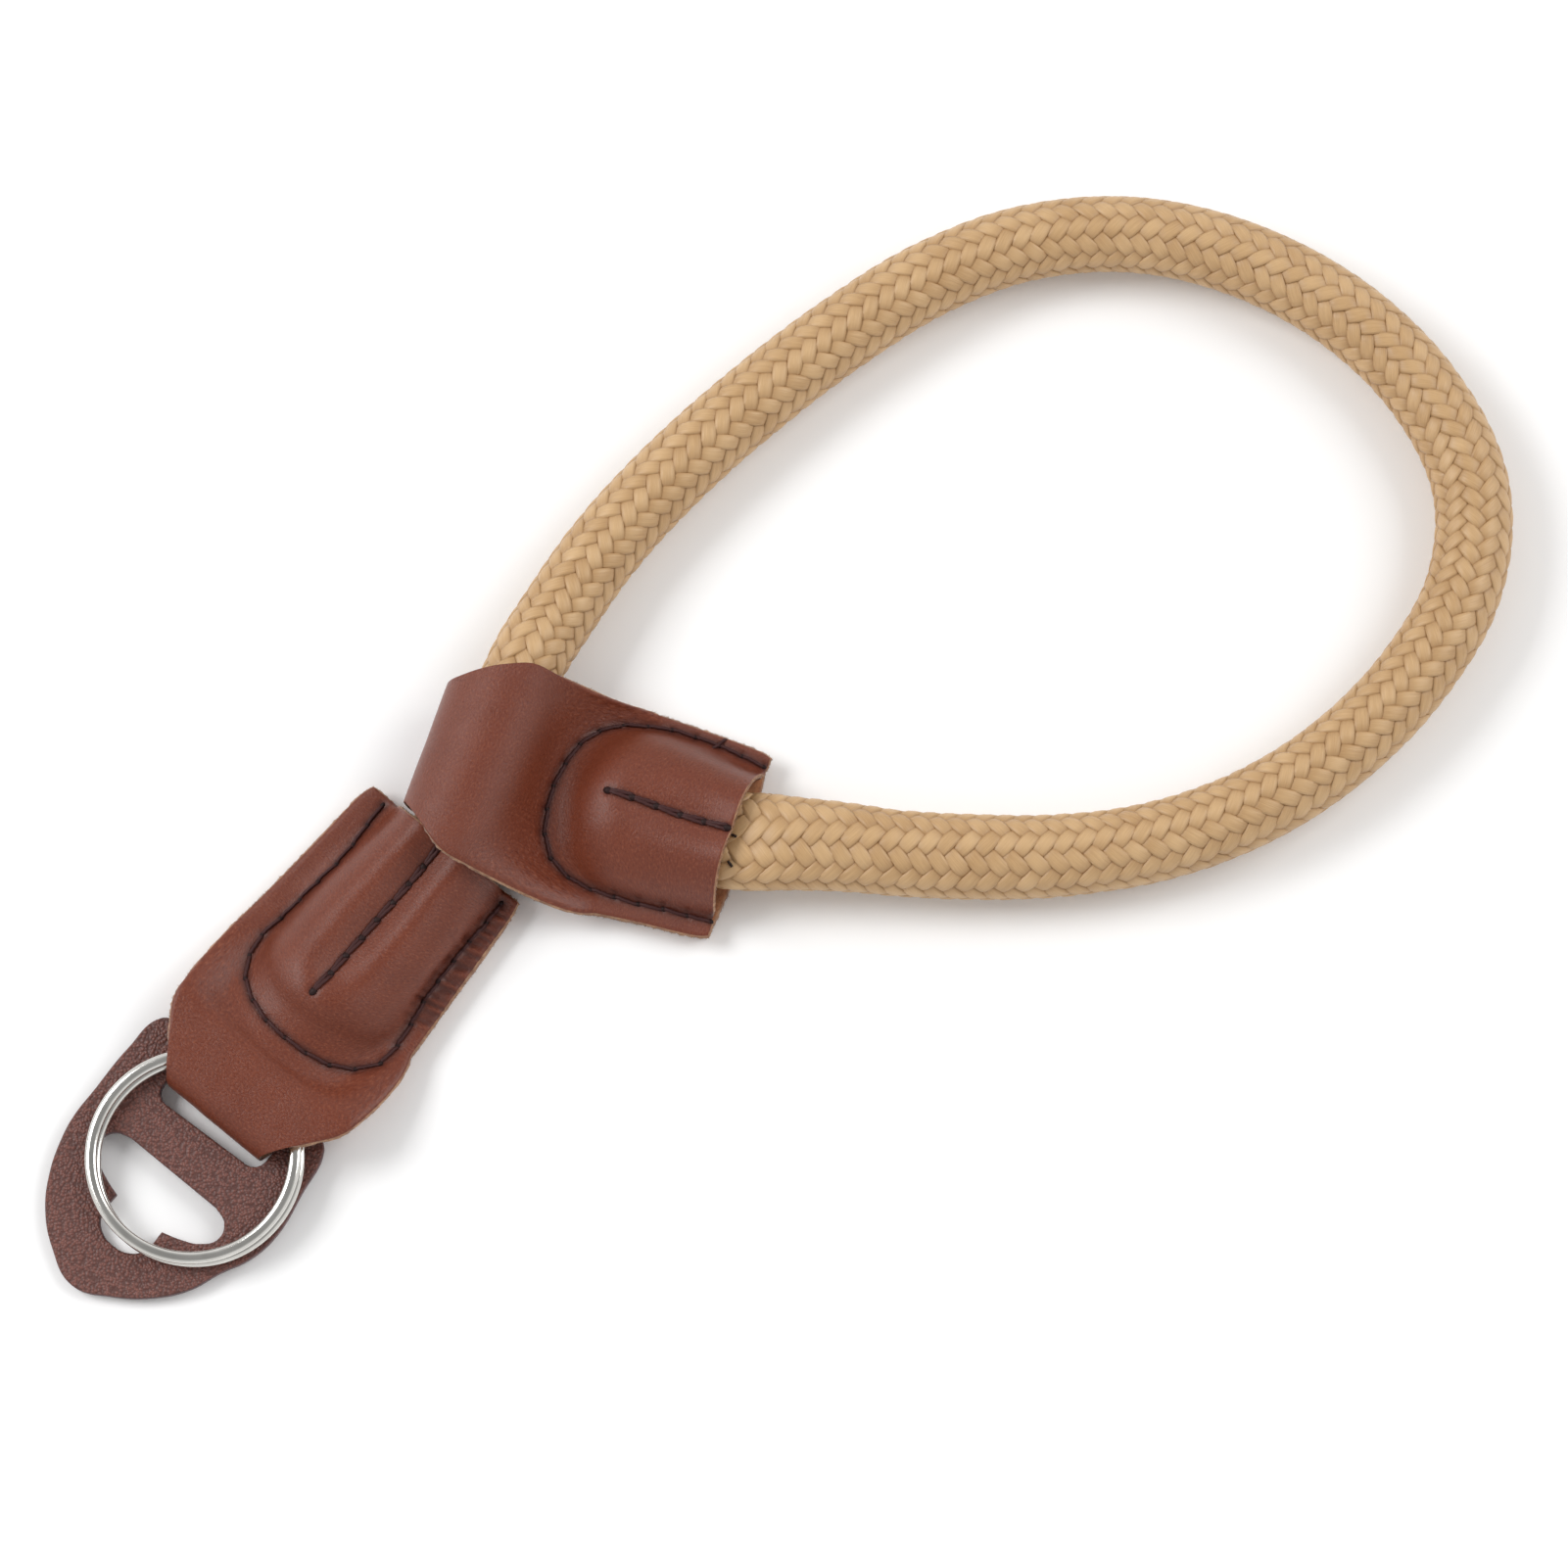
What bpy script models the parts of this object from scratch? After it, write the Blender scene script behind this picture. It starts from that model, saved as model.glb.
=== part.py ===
"""Camera wrist strap, as it lies on a table.

A thick braided rope makes the wrist loop. One end is sewn into a leather tab, folded at its
narrow waist round a split ring and the bar of a slotted pad. The other end is sewn into a
second strip of the same cut, folded round the rope as a slider that sets the loop's size.

Units are metres and +Z is up. +X runs along the tab, from the ring to the rope, and the origin
is the middle of the tab's flat underside, on the table.
"""

import math
from collections import namedtuple

import bmesh
import bpy
from mathutils import Matrix, Vector
from mathutils.geometry import interpolate_bezier

OBJECT_NAME = "camera_wrist_strap"

# Gaps
CLEARANCE = 0.0003
SEAM_GAP = 0.0003

# Rope
ROPE_DIAMETER = 0.010
PRESSED_SPREAD = 1.42
PRESSED_FLATNESS = 0.62
ROPE_END_SET_BACK = 0.0042
ROPE_POINT_SPACING = 0.0075

# Leather strips of the tab and the slider
STRIP_THICKNESS = 0.0014
WAIST_WIDTH = 0.0152
SEAM_FLAT = 0.0014
RAMP_BEND = 0.85
MOUTH_NARROWING = 0.55
GROOVE_WIDTH = 0.0026
TAB_LENGTH = 0.0465
TAB_REACH = 0.0002
TAB_FLANGE = 0.0052
TAB_SEAM_SLACK = 0.0013
TAB_MOUTH_SLACK = 0.0014
TAB_FOLD_RADIUS = 0.0015
TAB_TOP_RADIUS = 0.0008
TAB_RAMP_LENGTH = 0.0030
SLIDER_LENGTH = 0.0422
SLIDER_REACH = 0.0007
SLIDER_FLANGE = 0.0032
SLIDER_SEAM_SLACK = 0.0023
SLIDER_MOUTH_SLACK = 0.0020
SLIDER_SEAM_CENTRE = 0.0009
SLIDER_WALL_RUN = 0.0014
SLIDER_SLACK_IN = 0.0002
SLIDER_SLACK_OUT = 0.0020
SLIDER_ENTRY_WIDENING = 0.0008
SLIDER_SET_OUT = 0.0113
SLIDER_TURN = math.radians(-69.5)

# Slotted pad, split ring
PAD_THICKNESS = 0.0013
PAD_LENGTH = 0.0342
PAD_WIDTH = 0.0304
PAD_BAR_WIDTH = 0.0043
PAD_BAR_SET_IN = 0.0018
STRAP_SLOT_SLACK = 0.0018
STRAP_SLOT_CORNER = 0.0017
LUG_SLOT_SET_BACK = 0.0060
LUG_SLOT_WIDTH = 0.0198
LUG_SLOT_DEPTH = 0.0118
LUG_STEM_WIDTH = 0.0076
RING_DIAMETER = 0.028
RING_WIRE_WIDTH = 0.00215
RING_COIL_HEIGHT = 0.0011
RING_CHAMFER = 0.0003
RING_SPLIT_DEPTH = 0.00015
RING_SLACK = 0.0019
RING_SIDE = -0.0012
RING_STEPS = 48

# Mesh steps of the strips
FOLD_STEPS = 4
LOWER_STEP_SHARES = (1.0, 0.975, 0.80, 0.62, 0.43, 0.33, 0.205, 0.13)
RING_STEP_SHARES = (0.35, 0.7, 1.0)
RAMP_STEP_SHARES = (0.25, 0.5, 0.75, 1.0)
WALL_STEP_SHARES = (0.5, 1.0)
SEAM_STEP_SHARES = (0.5, 1.0)
POCKET_STEP_SHARES = (0.03, 0.07, 0.12, 0.18, 0.26, 0.36, 0.48, 0.60, 0.72, 0.84, 0.94, 1.0)

ROPE_RADIUS = ROPE_DIAMETER / 2
PRESSED_WIDTH = ROPE_DIAMETER * PRESSED_SPREAD
PRESSED_HEIGHT = ROPE_DIAMETER * PRESSED_FLATNESS
SEAM_TOP = 2 * STRIP_THICKNESS + SEAM_GAP
ROPE_FLOOR = STRIP_THICKNESS + CLEARANCE

# The slider's round stretch clears the rope along its flat mesh steps too.
STEP_CLEARANCE = math.cos(math.radians(45.0 / FOLD_STEPS))
SLIDER_TUBE_RADIUS = (ROPE_RADIUS + CLEARANCE) / STEP_CLEARANCE + STRIP_THICKNESS
CROSSING_IN = SLIDER_TUBE_RADIUS + SLIDER_SLACK_IN
CROSSING_OUT = SLIDER_TUBE_RADIUS + SLIDER_SLACK_OUT

# The ring reaches as far into the fold as the waist lets it.
RING_INNER_RADIUS = RING_DIAMETER / 2 - RING_WIRE_WIDTH
RING_WAIST = math.sqrt(RING_INNER_RADIUS**2 - (WAIST_WIDTH / 2 + abs(RING_SIDE)) ** 2)
RING_CENTRE = STRIP_THICKNESS + RING_SLACK - RING_WAIST
RING_REACH = RING_CENTRE + RING_DIAMETER / 2

# Where a strip's upper layer comes down to the seam, and where the rope's bulge starts.
TAB_SEAM_FOOT = RING_REACH + STRIP_THICKNESS / 2 + TAB_RAMP_LENGTH
SLIDER_SEAM_FOOT = CROSSING_OUT + SLIDER_TUBE_RADIUS + SLIDER_WALL_RUN
TAB_SEAM_HALF = PRESSED_WIDTH / 2 + ROPE_FLOOR + TAB_SEAM_SLACK
SLIDER_SEAM_HALF = PRESSED_WIDTH / 2 + ROPE_FLOOR + SLIDER_SEAM_SLACK

# Edges of a folded strip seen from above, as shares of the way from half the waist to half the
# full width. Along is a share of its length, from the fold's outer face to the mouth.
Outline = namedtuple("Outline", "along left right")
TAB_UPPER = (
    Outline(0.000, 0.00, 0.00),
    Outline(0.120, 0.51, 0.56),
    Outline(0.205, 0.84, 0.93),
    Outline(0.260, 0.90, 0.98),
    Outline(0.330, 0.94, 0.95),
    Outline(0.420, 0.95, 0.83),
    Outline(0.620, 0.88, 0.71),
    Outline(0.820, 0.81, 0.60),
    Outline(0.975, 0.77, 0.52),
    Outline(1.000, 0.70, 0.48),
)
TAB_LOWER = (
    Outline(0.000, 0.00, 0.00),
    Outline(0.060, 0.00, 0.00),
    Outline(0.120, 0.40, 0.28),
    Outline(0.205, 0.86, 0.68),
    Outline(0.330, 0.98, 0.83),
    Outline(0.420, 0.99, 0.77),
    Outline(0.620, 0.93, 0.67),
    Outline(0.975, 0.82, 0.49),
    Outline(1.000, 0.75, 0.44),
)
SLIDER_UPPER = (
    Outline(0.000, 0.08, 0.01),
    Outline(0.053, 0.25, 0.15),
    Outline(0.105, 0.45, 0.52),
    Outline(0.167, 0.64, 0.86),
    Outline(0.220, 0.75, 0.97),
    Outline(0.270, 0.81, 1.02),
    Outline(0.330, 0.79, 1.05),
    Outline(0.430, 0.81, 1.09),
    Outline(0.500, 0.90, 1.03),
    Outline(0.600, 0.97, 0.91),
    Outline(0.760, 0.96, 0.77),
    Outline(0.980, 0.90, 0.64),
    Outline(1.000, 0.85, 0.58),
)
SLIDER_LOWER = (
    Outline(0.000, 0.08, 0.01),
    Outline(0.085, 0.40, 0.08),
    Outline(0.175, 0.70, 0.33),
    Outline(0.330, 0.90, 0.72),
    Outline(0.430, 0.93, 0.88),
    Outline(0.600, 0.98, 0.81),
    Outline(0.800, 0.96, 0.67),
    Outline(0.980, 0.93, 0.57),
    Outline(1.000, 0.88, 0.52),
)

# Half widths of the pad as shares of half its width, from its bar end to its tip.
PAD_OUTLINE = (
    Outline(0.000, 0.790, 0.770),
    Outline(0.035, 0.930, 0.860),
    Outline(0.200, 0.980, 0.945),
    Outline(0.400, 0.970, 1.010),
    Outline(0.520, 0.960, 0.960),
    Outline(0.620, 0.910, 0.850),
    Outline(0.740, 0.800, 0.740),
    Outline(0.850, 0.630, 0.540),
    Outline(0.940, 0.380, 0.270),
)
PAD_TIP_SIDE = 0.045

# The pad's lug slot, a mushroom whose cap faces the bar. Along is a share of its depth from the
# cap's straight edge, and side a share of half its width.
SlotPoint = namedtuple("SlotPoint", "along side")
LUG_CAP = (
    SlotPoint(0.00, 0.72),
    SlotPoint(0.07, 0.93),
    SlotPoint(0.24, 1.00),
    SlotPoint(0.40, 0.86),
    SlotPoint(0.50, 0.62),
)
LUG_STEM = (
    SlotPoint(0.56, 1.00),
    SlotPoint(0.84, 0.94),
    SlotPoint(0.97, 0.52),
)

# How flat the rope is pressed along a pocket. Along is a share of the pocket's length, 0 at the
# rope's cut end and 1 at the mouth. Spread and press are shares of the full change of width and
# height, taper shrinks the whole section towards the cut end, and groove is how far the centre
# stitches pull the top down, as a share of the pressed height.
Press = namedtuple("Press", "along spread press taper groove")
TAB_PRESS = (
    Press(0.00, 1.00, 1.00, 0.58, 0.00),
    Press(0.10, 1.00, 1.00, 0.84, 0.04),
    Press(0.24, 1.00, 1.00, 1.00, 0.30),
    Press(0.65, 1.00, 1.00, 1.00, 0.32),
    Press(1.00, 0.34, 0.60, 1.00, 0.24),
    Press(1.10, 0.05, 0.15, 1.00, 0.00),
    Press(1.20, 0.00, 0.00, 1.00, 0.00),
)
SLIDER_PRESS = (
    Press(0.00, 1.00, 1.00, 0.58, 0.00),
    Press(0.12, 1.00, 1.00, 0.84, 0.00),
    Press(0.28, 1.00, 1.00, 1.00, 0.05),
    Press(0.70, 0.90, 0.85, 1.00, 0.16),
    Press(1.00, 0.62, 0.50, 1.00, 0.12),
    Press(1.35, 0.28, 0.22, 1.00, 0.02),
    Press(1.90, 0.00, 0.00, 1.00, 0.00),
)
POCKET_END_SHARE = 0.8
SWELL_ROUNDNESS = 2.4
SWELL_STEEPNESS = 0.7
SWELL_END_EASE = 0.45
CUT_END_MARGIN = 0.02
FREE_END_LIFT = 0.45
TAB_ROPE_SHARES = (0.0, 0.16, 0.32, 0.48, 0.64, 0.80)
SLIDER_ROPE_SHARES = (1.02, 0.80, 0.60, 0.40, 0.20, 0.0)

# The rope across the slider, as shares of the slider's full width from its middle.
CROSSING_SHARES = (-0.40, -0.22, 0.05, 0.50)

# The rope's free loop, in plan, from the slider's far side round to the slider's mouth. The
# points are measured from the middle of the tab's mouth.
LOOP_ROUTE = (
    (0.0302, 0.0086),
    (0.0432, 0.0101),
    (0.0568, 0.0097),
    (0.0712, 0.0078),
    (0.0858, 0.0047),
    (0.0992, 0.0004),
    (0.1112, -0.0065),
    (0.1210, -0.0170),
    (0.1272, -0.0305),
    (0.1294, -0.0455),
    (0.1272, -0.0600),
    (0.1208, -0.0720),
    (0.1098, -0.0794),
    (0.0968, -0.0817),
    (0.0832, -0.0808),
    (0.0702, -0.0770),
    (0.0582, -0.0702),
    (0.0478, -0.0608),
    (0.0388, -0.0498),
    (0.0312, -0.0392),
)

# Columns of a strip's mesh on either side: 0 to 1 from the seam's middle to the foot of the
# rope's bulge, and 1 to 2 from there to the strip's edge.
HALF_COLUMNS = (2.0, 1.5, 1.0, 0.96, 0.90, 0.82, 0.71, 0.57, 0.41, 0.25, 0.11)
COLUMNS = tuple(-share for share in HALF_COLUMNS) + (0.0,) + HALF_COLUMNS[::-1]
FOOT_LIMIT = 0.92

def table_value(table, column, along):
    """Read a column of a table between its rows, which run along its first column."""
    if along <= table[0][0]:
        return getattr(table[0], column)
    for before, after in zip(table, table[1:]):
        if along <= after[0]:
            share = (along - before[0]) / (after[0] - before[0])
            low = getattr(before, column)
            return low + (getattr(after, column) - low) * share
    return getattr(table[-1], column)


def mouth_half(press, slack):
    """Half width of a pocket's bulge at its mouth."""
    spread = table_value(press, "spread", 1.0)
    return ROPE_RADIUS + (PRESSED_WIDTH / 2 - ROPE_RADIUS) * spread + ROPE_FLOOR + slack


# A pocket is the rope's bulge in a strip: where it starts, and its half width, in the middle and
# at the mouth. A strip is folded to its length, and its reach is how far the lower layer shows
# past the upper one's mouth.
Pocket = namedtuple("Pocket", "start half_width mouth_half centre mouth press")
Strip = namedtuple("Strip", "length half_width reach lower upper pocket")
TAB = Strip(
    TAB_LENGTH,
    TAB_SEAM_HALF + TAB_FLANGE,
    TAB_REACH,
    TAB_LOWER,
    TAB_UPPER,
    Pocket(
        TAB_SEAM_FOOT + SEAM_FLAT,
        TAB_SEAM_HALF,
        mouth_half(TAB_PRESS, TAB_MOUTH_SLACK),
        0.0,
        TAB_LENGTH,
        TAB_PRESS,
    ),
)
SLIDER = Strip(
    SLIDER_LENGTH,
    SLIDER_SEAM_HALF + SLIDER_FLANGE,
    SLIDER_REACH,
    SLIDER_LOWER,
    SLIDER_UPPER,
    Pocket(
        SLIDER_SEAM_FOOT + SEAM_FLAT,
        SLIDER_SEAM_HALF,
        mouth_half(SLIDER_PRESS, SLIDER_MOUTH_SLACK),
        SLIDER_SEAM_CENTRE,
        SLIDER_LENGTH,
        SLIDER_PRESS,
    ),
)


def clear_scene():
    """Remove the objects that a new Blender file starts with."""
    for leftover in list(bpy.data.objects):
        bpy.data.objects.remove(leftover, do_unlink=True)


def make_collection(name):
    """Add a collection to the scene."""
    collection = bpy.data.collections.new(name)
    bpy.context.scene.collection.children.link(collection)
    return collection


def make_material(name, colour, roughness, metallic=0.0):
    """Make a plain Principled BSDF material."""
    material = bpy.data.materials.new(name)
    material.use_nodes = True
    shader = material.node_tree.nodes["Principled BSDF"]
    shader.inputs["Base Color"].default_value = (*colour, 1.0)
    shader.inputs["Roughness"].default_value = roughness
    shader.inputs["Metallic"].default_value = metallic
    material.diffuse_color = (*colour, 1.0)
    return material


def smooth_step(share):
    """Ease from 0 to 1."""
    share = min(max(share, 0.0), 1.0)
    return share * share * (3.0 - 2.0 * share)


def add_object(name, data, collection, material):
    """Link a new object with its material."""
    item = bpy.data.objects.new(name, data)
    collection.objects.link(item)
    data.materials.append(material)
    return item


def shade_round(mesh, angle):
    """Shade a mesh smooth, with edges sharper than the angle kept."""
    mesh.shade_smooth()
    mesh.set_sharp_from_angle(angle=math.radians(angle))


def rope_end(pocket):
    """Distance from the fold to the rope's cut end in a pocket."""
    return pocket.start + ROPE_END_SET_BACK


def pocket_share(pocket, along):
    """Share of the pocket's length, from the rope's cut end to the mouth."""
    end = rope_end(pocket)
    return (along - end) / (pocket.mouth - end)


def pressed_section(pocket, along):
    """Half width, height and groove of the rope at a distance along the strip."""
    share = pocket_share(pocket, along)
    spread = table_value(pocket.press, "spread", share)
    press = table_value(pocket.press, "press", share)
    taper = table_value(pocket.press, "taper", share)
    groove = table_value(pocket.press, "groove", share)
    half_width = ROPE_RADIUS + (PRESSED_WIDTH / 2 - ROPE_RADIUS) * spread
    height = ROPE_DIAMETER + (PRESSED_HEIGHT - ROPE_DIAMETER) * press
    return half_width * taper, height * taper, groove


def groove_share(groove, across):
    """What the centre stitches leave of the height at a distance from them."""
    return 1.0 - groove * math.exp(-((across / GROOVE_WIDTH) ** 2))


def closed_end(pocket, across):
    """Distance along a strip at which the rope's bulge starts, at a distance across."""
    side = min(abs(across - pocket.centre) / pocket.half_width, 1.0)
    depth = POCKET_END_SHARE * pocket.half_width
    return pocket.start + depth * (1.0 - math.sqrt(1.0 - side * side))


def ramp_foot(pocket, across):
    """Distance along a strip at which its upper layer comes down to the seam."""
    return closed_end(pocket, pocket.centre + (across - pocket.centre) * RAMP_BEND) - SEAM_FLAT


def foot_half(pocket, along):
    """Half width of the rope's bulge at a distance along a strip."""
    share = (along - pocket.start) / (pocket.mouth - pocket.start)
    narrowing = smooth_step((share - MOUTH_NARROWING) / (1.0 - MOUTH_NARROWING))
    return pocket.half_width + (pocket.mouth_half - pocket.half_width) * narrowing


def pocket_height(pocket, along, across):
    """Rise of a strip's upper layer over its seam, where the rope lies under it."""
    side = abs(across - pocket.centre) / foot_half(pocket, along)
    end = max(0.0, 1.0 - (along - pocket.start) / (POCKET_END_SHARE * pocket.half_width))
    edge = math.hypot(side, end)
    if edge >= 1.0:
        return 0.0
    share = pocket_share(pocket, along)
    press = table_value(pocket.press, "press", share)
    groove = table_value(pocket.press, "groove", share)
    height = ROPE_DIAMETER + (PRESSED_HEIGHT - ROPE_DIAMETER) * press + 3 * CLEARANCE
    swell = (1.0 - edge**SWELL_ROUNDNESS) ** (SWELL_STEEPNESS + SWELL_END_EASE * end)
    return height * swell * groove_share(groove, across - pocket.centre)


def half_widths(strip, outline, along):
    """Left and right half widths of a strip at a distance along it."""
    waist = WAIST_WIDTH / 2
    widths = []
    for side in ("left", "right"):
        share = table_value(outline, side, along / strip.length)
        widths.append(waist + (strip.half_width - waist) * share)
    return widths


def column_across(strip, outline, along, column):
    """Distance across a strip of a column of its mesh, at a distance along it."""
    left, right = half_widths(strip, outline, along)
    side = 1.0 if column > 0.0 else -1.0
    edge = left if column > 0.0 else right
    centre = strip.pocket.centre
    foot = side * min(foot_half(strip.pocket, along) + side * centre, FOOT_LIMIT * edge)
    if abs(column) <= 1.0:
        return centre + (foot - centre) * abs(column)
    return foot + (side * edge - foot) * (abs(column) - 1.0)


def strip_row(strip, outline, along, place):
    """One row of a strip's outer face. Place gives x and z at a distance across."""
    row = []
    for column in COLUMNS:
        across = column_across(strip, outline, along, column)
        x, z = place(across)
        row.append(Vector((x, across, z)))
    return row


def lower_rows(strip, fold_x):
    """Rows of a strip's flat lower layer, from its mouth to the fold."""
    rows = []
    for share in LOWER_STEP_SHARES:
        x = (strip.length + strip.reach) * share
        if x > fold_x:
            along = strip.length * share
            rows.append(strip_row(strip, strip.lower, along, lambda across, x=x: (x, 0.0)))
    return rows


def upper_row(strip, place):
    """One row of the upper layer that bends with the closed end of the rope's bulge."""
    side = strip.pocket.centre + strip.pocket.half_width
    return strip_row(strip, strip.upper, place(side)[0], place)


def pocket_rows(strip):
    """Rows of a strip's seam and of the bulge over the rope, up to the mouth."""
    pocket = strip.pocket
    rows = []
    for share in SEAM_STEP_SHARES:

        def on_seam(across, share=share):
            foot = ramp_foot(pocket, across)
            return foot + (closed_end(pocket, across) - foot) * share, SEAM_TOP

        rows.append(upper_row(strip, on_seam))
    for share in POCKET_STEP_SHARES:

        def on_bulge(across, share=share):
            start = closed_end(pocket, across)
            x = start + (strip.length - start) * share
            return x, SEAM_TOP + pocket_height(pocket, x, across)

        rows.append(upper_row(strip, on_bulge))
    return rows


def ring_plane_height(x):
    """Height of the ring's upper side at a distance from the tab's fold, with the pad's slope."""
    level = ROPE_FLOOR + PAD_THICKNESS + CLEARANCE + 2 * RING_COIL_HEIGHT
    return level + (x - bar_front()) * math.tan(pad_slope())


def bar_front():
    """Distance from the tab's fold to the front edge of the pad's bar."""
    return STRIP_THICKNESS + PAD_BAR_SET_IN


def pad_slope():
    """Slope of the pad, from its tip on the table up to its bar on the tab's lower layer."""
    return math.asin(ROPE_FLOOR / (PAD_LENGTH - PAD_BAR_WIDTH))


def fold_arc(centre_x, centre_z, radius, first_angle):
    """Points of a quarter turn of a fold's outer face, from its underside upwards."""
    arc = []
    for step in range(FOLD_STEPS + 1):
        angle = math.radians(first_angle - 90.0 * step / FOLD_STEPS)
        arc.append((centre_x + radius * math.cos(angle), centre_z + radius * math.sin(angle)))
    return arc


def tab_rows():
    """Rows of the tab's outer face, from its lower mouth round the ring to its upper mouth."""
    lower_radius = STRIP_THICKNESS + TAB_FOLD_RADIUS
    upper_radius = STRIP_THICKNESS + TAB_TOP_RADIUS
    over_ring = CLEARANCE + STRIP_THICKNESS
    crest = ring_plane_height(upper_radius) + over_ring
    rows = lower_rows(TAB, lower_radius)
    path = []
    for x, z in fold_arc(lower_radius, lower_radius, lower_radius, -90.0):
        path.append((TAB_LOWER, 0.0, x, z))
    for x, z in fold_arc(upper_radius, crest - upper_radius, upper_radius, 180.0):
        path.append((TAB_UPPER, x, x, z))
    ring_end = RING_REACH + STRIP_THICKNESS / 2
    for share in RING_STEP_SHARES:
        x = upper_radius + (ring_end - upper_radius) * share
        path.append((TAB_UPPER, x, x, ring_plane_height(x) + over_ring))
    for outline, along, x, z in path:
        rows.append(strip_row(TAB, outline, along, lambda across, x=x, z=z: (x, z)))
    high = ring_plane_height(ring_end) + over_ring
    for share in RAMP_STEP_SHARES:

        def down_ramp(across, share=share):
            x = ring_end + (ramp_foot(TAB.pocket, across) - ring_end) * share
            return x, high + (SEAM_TOP - high) * smooth_step(share)

        rows.append(upper_row(TAB, down_ramp))
    return rows + pocket_rows(TAB)


def crossing_share(across):
    """Share of the way across the slider, 0 where the rope enters and 1 where it leaves."""
    return (across + SLIDER.half_width) / (2 * SLIDER.half_width)


def crossing_x(across):
    """Distance from the slider's fold to the rope's middle, at a distance across the slider."""
    return CROSSING_IN + (CROSSING_OUT - CROSSING_IN) * crossing_share(across)


def slider_tube_reach(across):
    """Half width of the slider's tube towards the mouth. It is widest where the rope enters."""
    return SLIDER_TUBE_RADIUS + SLIDER_ENTRY_WIDENING * (1.0 - crossing_share(across))


def slider_tube_point(angle, across):
    """Point of the slider's outer face round the rope. The angle is 0 towards the mouth."""
    radius = SLIDER_TUBE_RADIUS
    centre = crossing_x(across)
    reach = centre if math.cos(angle) < 0.0 else slider_tube_reach(across)
    return centre + reach * math.cos(angle), radius + radius * math.sin(angle)


def slider_wall_start(across):
    """Angle at which the upper layer leaves the rope in a straight wall down to the seam."""
    radius = SLIDER_TUBE_RADIUS
    over = ramp_foot(SLIDER.pocket, across) - crossing_x(across)
    over *= radius / slider_tube_reach(across)
    down = SEAM_TOP - radius
    return math.atan2(down, over) + math.acos(radius / math.hypot(over, down))


def slider_rows():
    """Rows of the slider's outer face, from its lower mouth round the rope to its upper mouth."""
    rows = lower_rows(SLIDER, CROSSING_OUT)
    for step in range(2 * FOLD_STEPS + 1):

        def round_fold(across, step=step):
            return slider_tube_point(math.radians(-90.0 - 90.0 * step / FOLD_STEPS), across)

        outline = SLIDER_LOWER if step < FOLD_STEPS else SLIDER_UPPER
        rows.append(strip_row(SLIDER, outline, round_fold(0.0)[0], round_fold))
    for step in range(1, FOLD_STEPS + 1):

        def over_rope(across, share=step / FOLD_STEPS):
            turn = slider_wall_start(across) - math.pi / 2
            return slider_tube_point(math.pi / 2 + turn * share, across)

        rows.append(upper_row(SLIDER, over_rope))
    for share in WALL_STEP_SHARES:

        def down_wall(across, share=share):
            x, z = slider_tube_point(slider_wall_start(across), across)
            foot = ramp_foot(SLIDER.pocket, across)
            return x + (foot - x) * share, z + (SEAM_TOP - z) * share

        rows.append(upper_row(SLIDER, down_wall))
    return rows + pocket_rows(SLIDER)


def make_strip(name, rows, collection, material):
    """Make a folded strip: its outer face through the rows, thickened inwards."""
    mesh = bpy.data.meshes.new(name)
    sheet = bmesh.new()
    grid = [[sheet.verts.new(point) for point in row] for row in rows]
    for lower, upper in zip(grid, grid[1:]):
        for column in range(len(COLUMNS) - 1):
            corners = (lower[column], upper[column], upper[column + 1], lower[column + 1])
            sheet.faces.new(corners)
    sheet.to_mesh(mesh)
    sheet.free()
    shade_round(mesh, 50)
    strip = add_object(name, mesh, collection, material)
    leather = strip.modifiers.new("leather", "SOLIDIFY")
    leather.thickness = STRIP_THICKNESS
    leather.offset = -1.0
    leather.use_even_offset = False
    return strip


def tab_matrix():
    """Placement of the tab's own frame."""
    return Matrix.Translation((-TAB_LENGTH / 2, 0.0, 0.0))


def slider_matrix():
    """Placement of the slider's own frame. Its rope comes from the middle of the tab's mouth."""
    from_mouth = Vector((crossing_x(-SLIDER_SET_OUT), -SLIDER_SET_OUT, 0.0))
    turn = Matrix.Rotation(SLIDER_TURN, 4, "Z")
    mouth = Matrix.Translation((TAB_LENGTH / 2, 0.0, 0.0))
    return mouth @ turn @ Matrix.Translation(-from_mouth)


def rope_route():
    """Points of the rope's centreline, from its end in the tab to its end in the slider."""
    tab = tab_matrix()
    slider = slider_matrix()
    inside = ROPE_FLOOR + ROPE_RADIUS
    points = []
    for share in TAB_ROPE_SHARES:
        start = rope_end(TAB.pocket)
        points.append(tab @ Vector((start + (TAB_LENGTH - start) * share, 0.0, inside)))
    for share in CROSSING_SHARES:
        side = share * 2 * SLIDER.half_width
        points.append(slider @ Vector((crossing_x(side), side, inside)))
    for x, y in LOOP_ROUTE:
        points.append(Vector((TAB_LENGTH / 2 + x, y, ROPE_RADIUS)))
    for share in SLIDER_ROPE_SHARES:
        start = rope_end(SLIDER.pocket)
        x = start + (SLIDER_LENGTH - start) * share
        points.append(slider @ Vector((x, SLIDER_SEAM_CENTRE, inside)))
    first_free = len(TAB_ROPE_SHARES) + len(CROSSING_SHARES)
    last_free = first_free + len(LOOP_ROUTE) - 1
    for index in (first_free, last_free):
        points[index].z += FREE_END_LIFT * (inside - ROPE_RADIUS)
    return points


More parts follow.
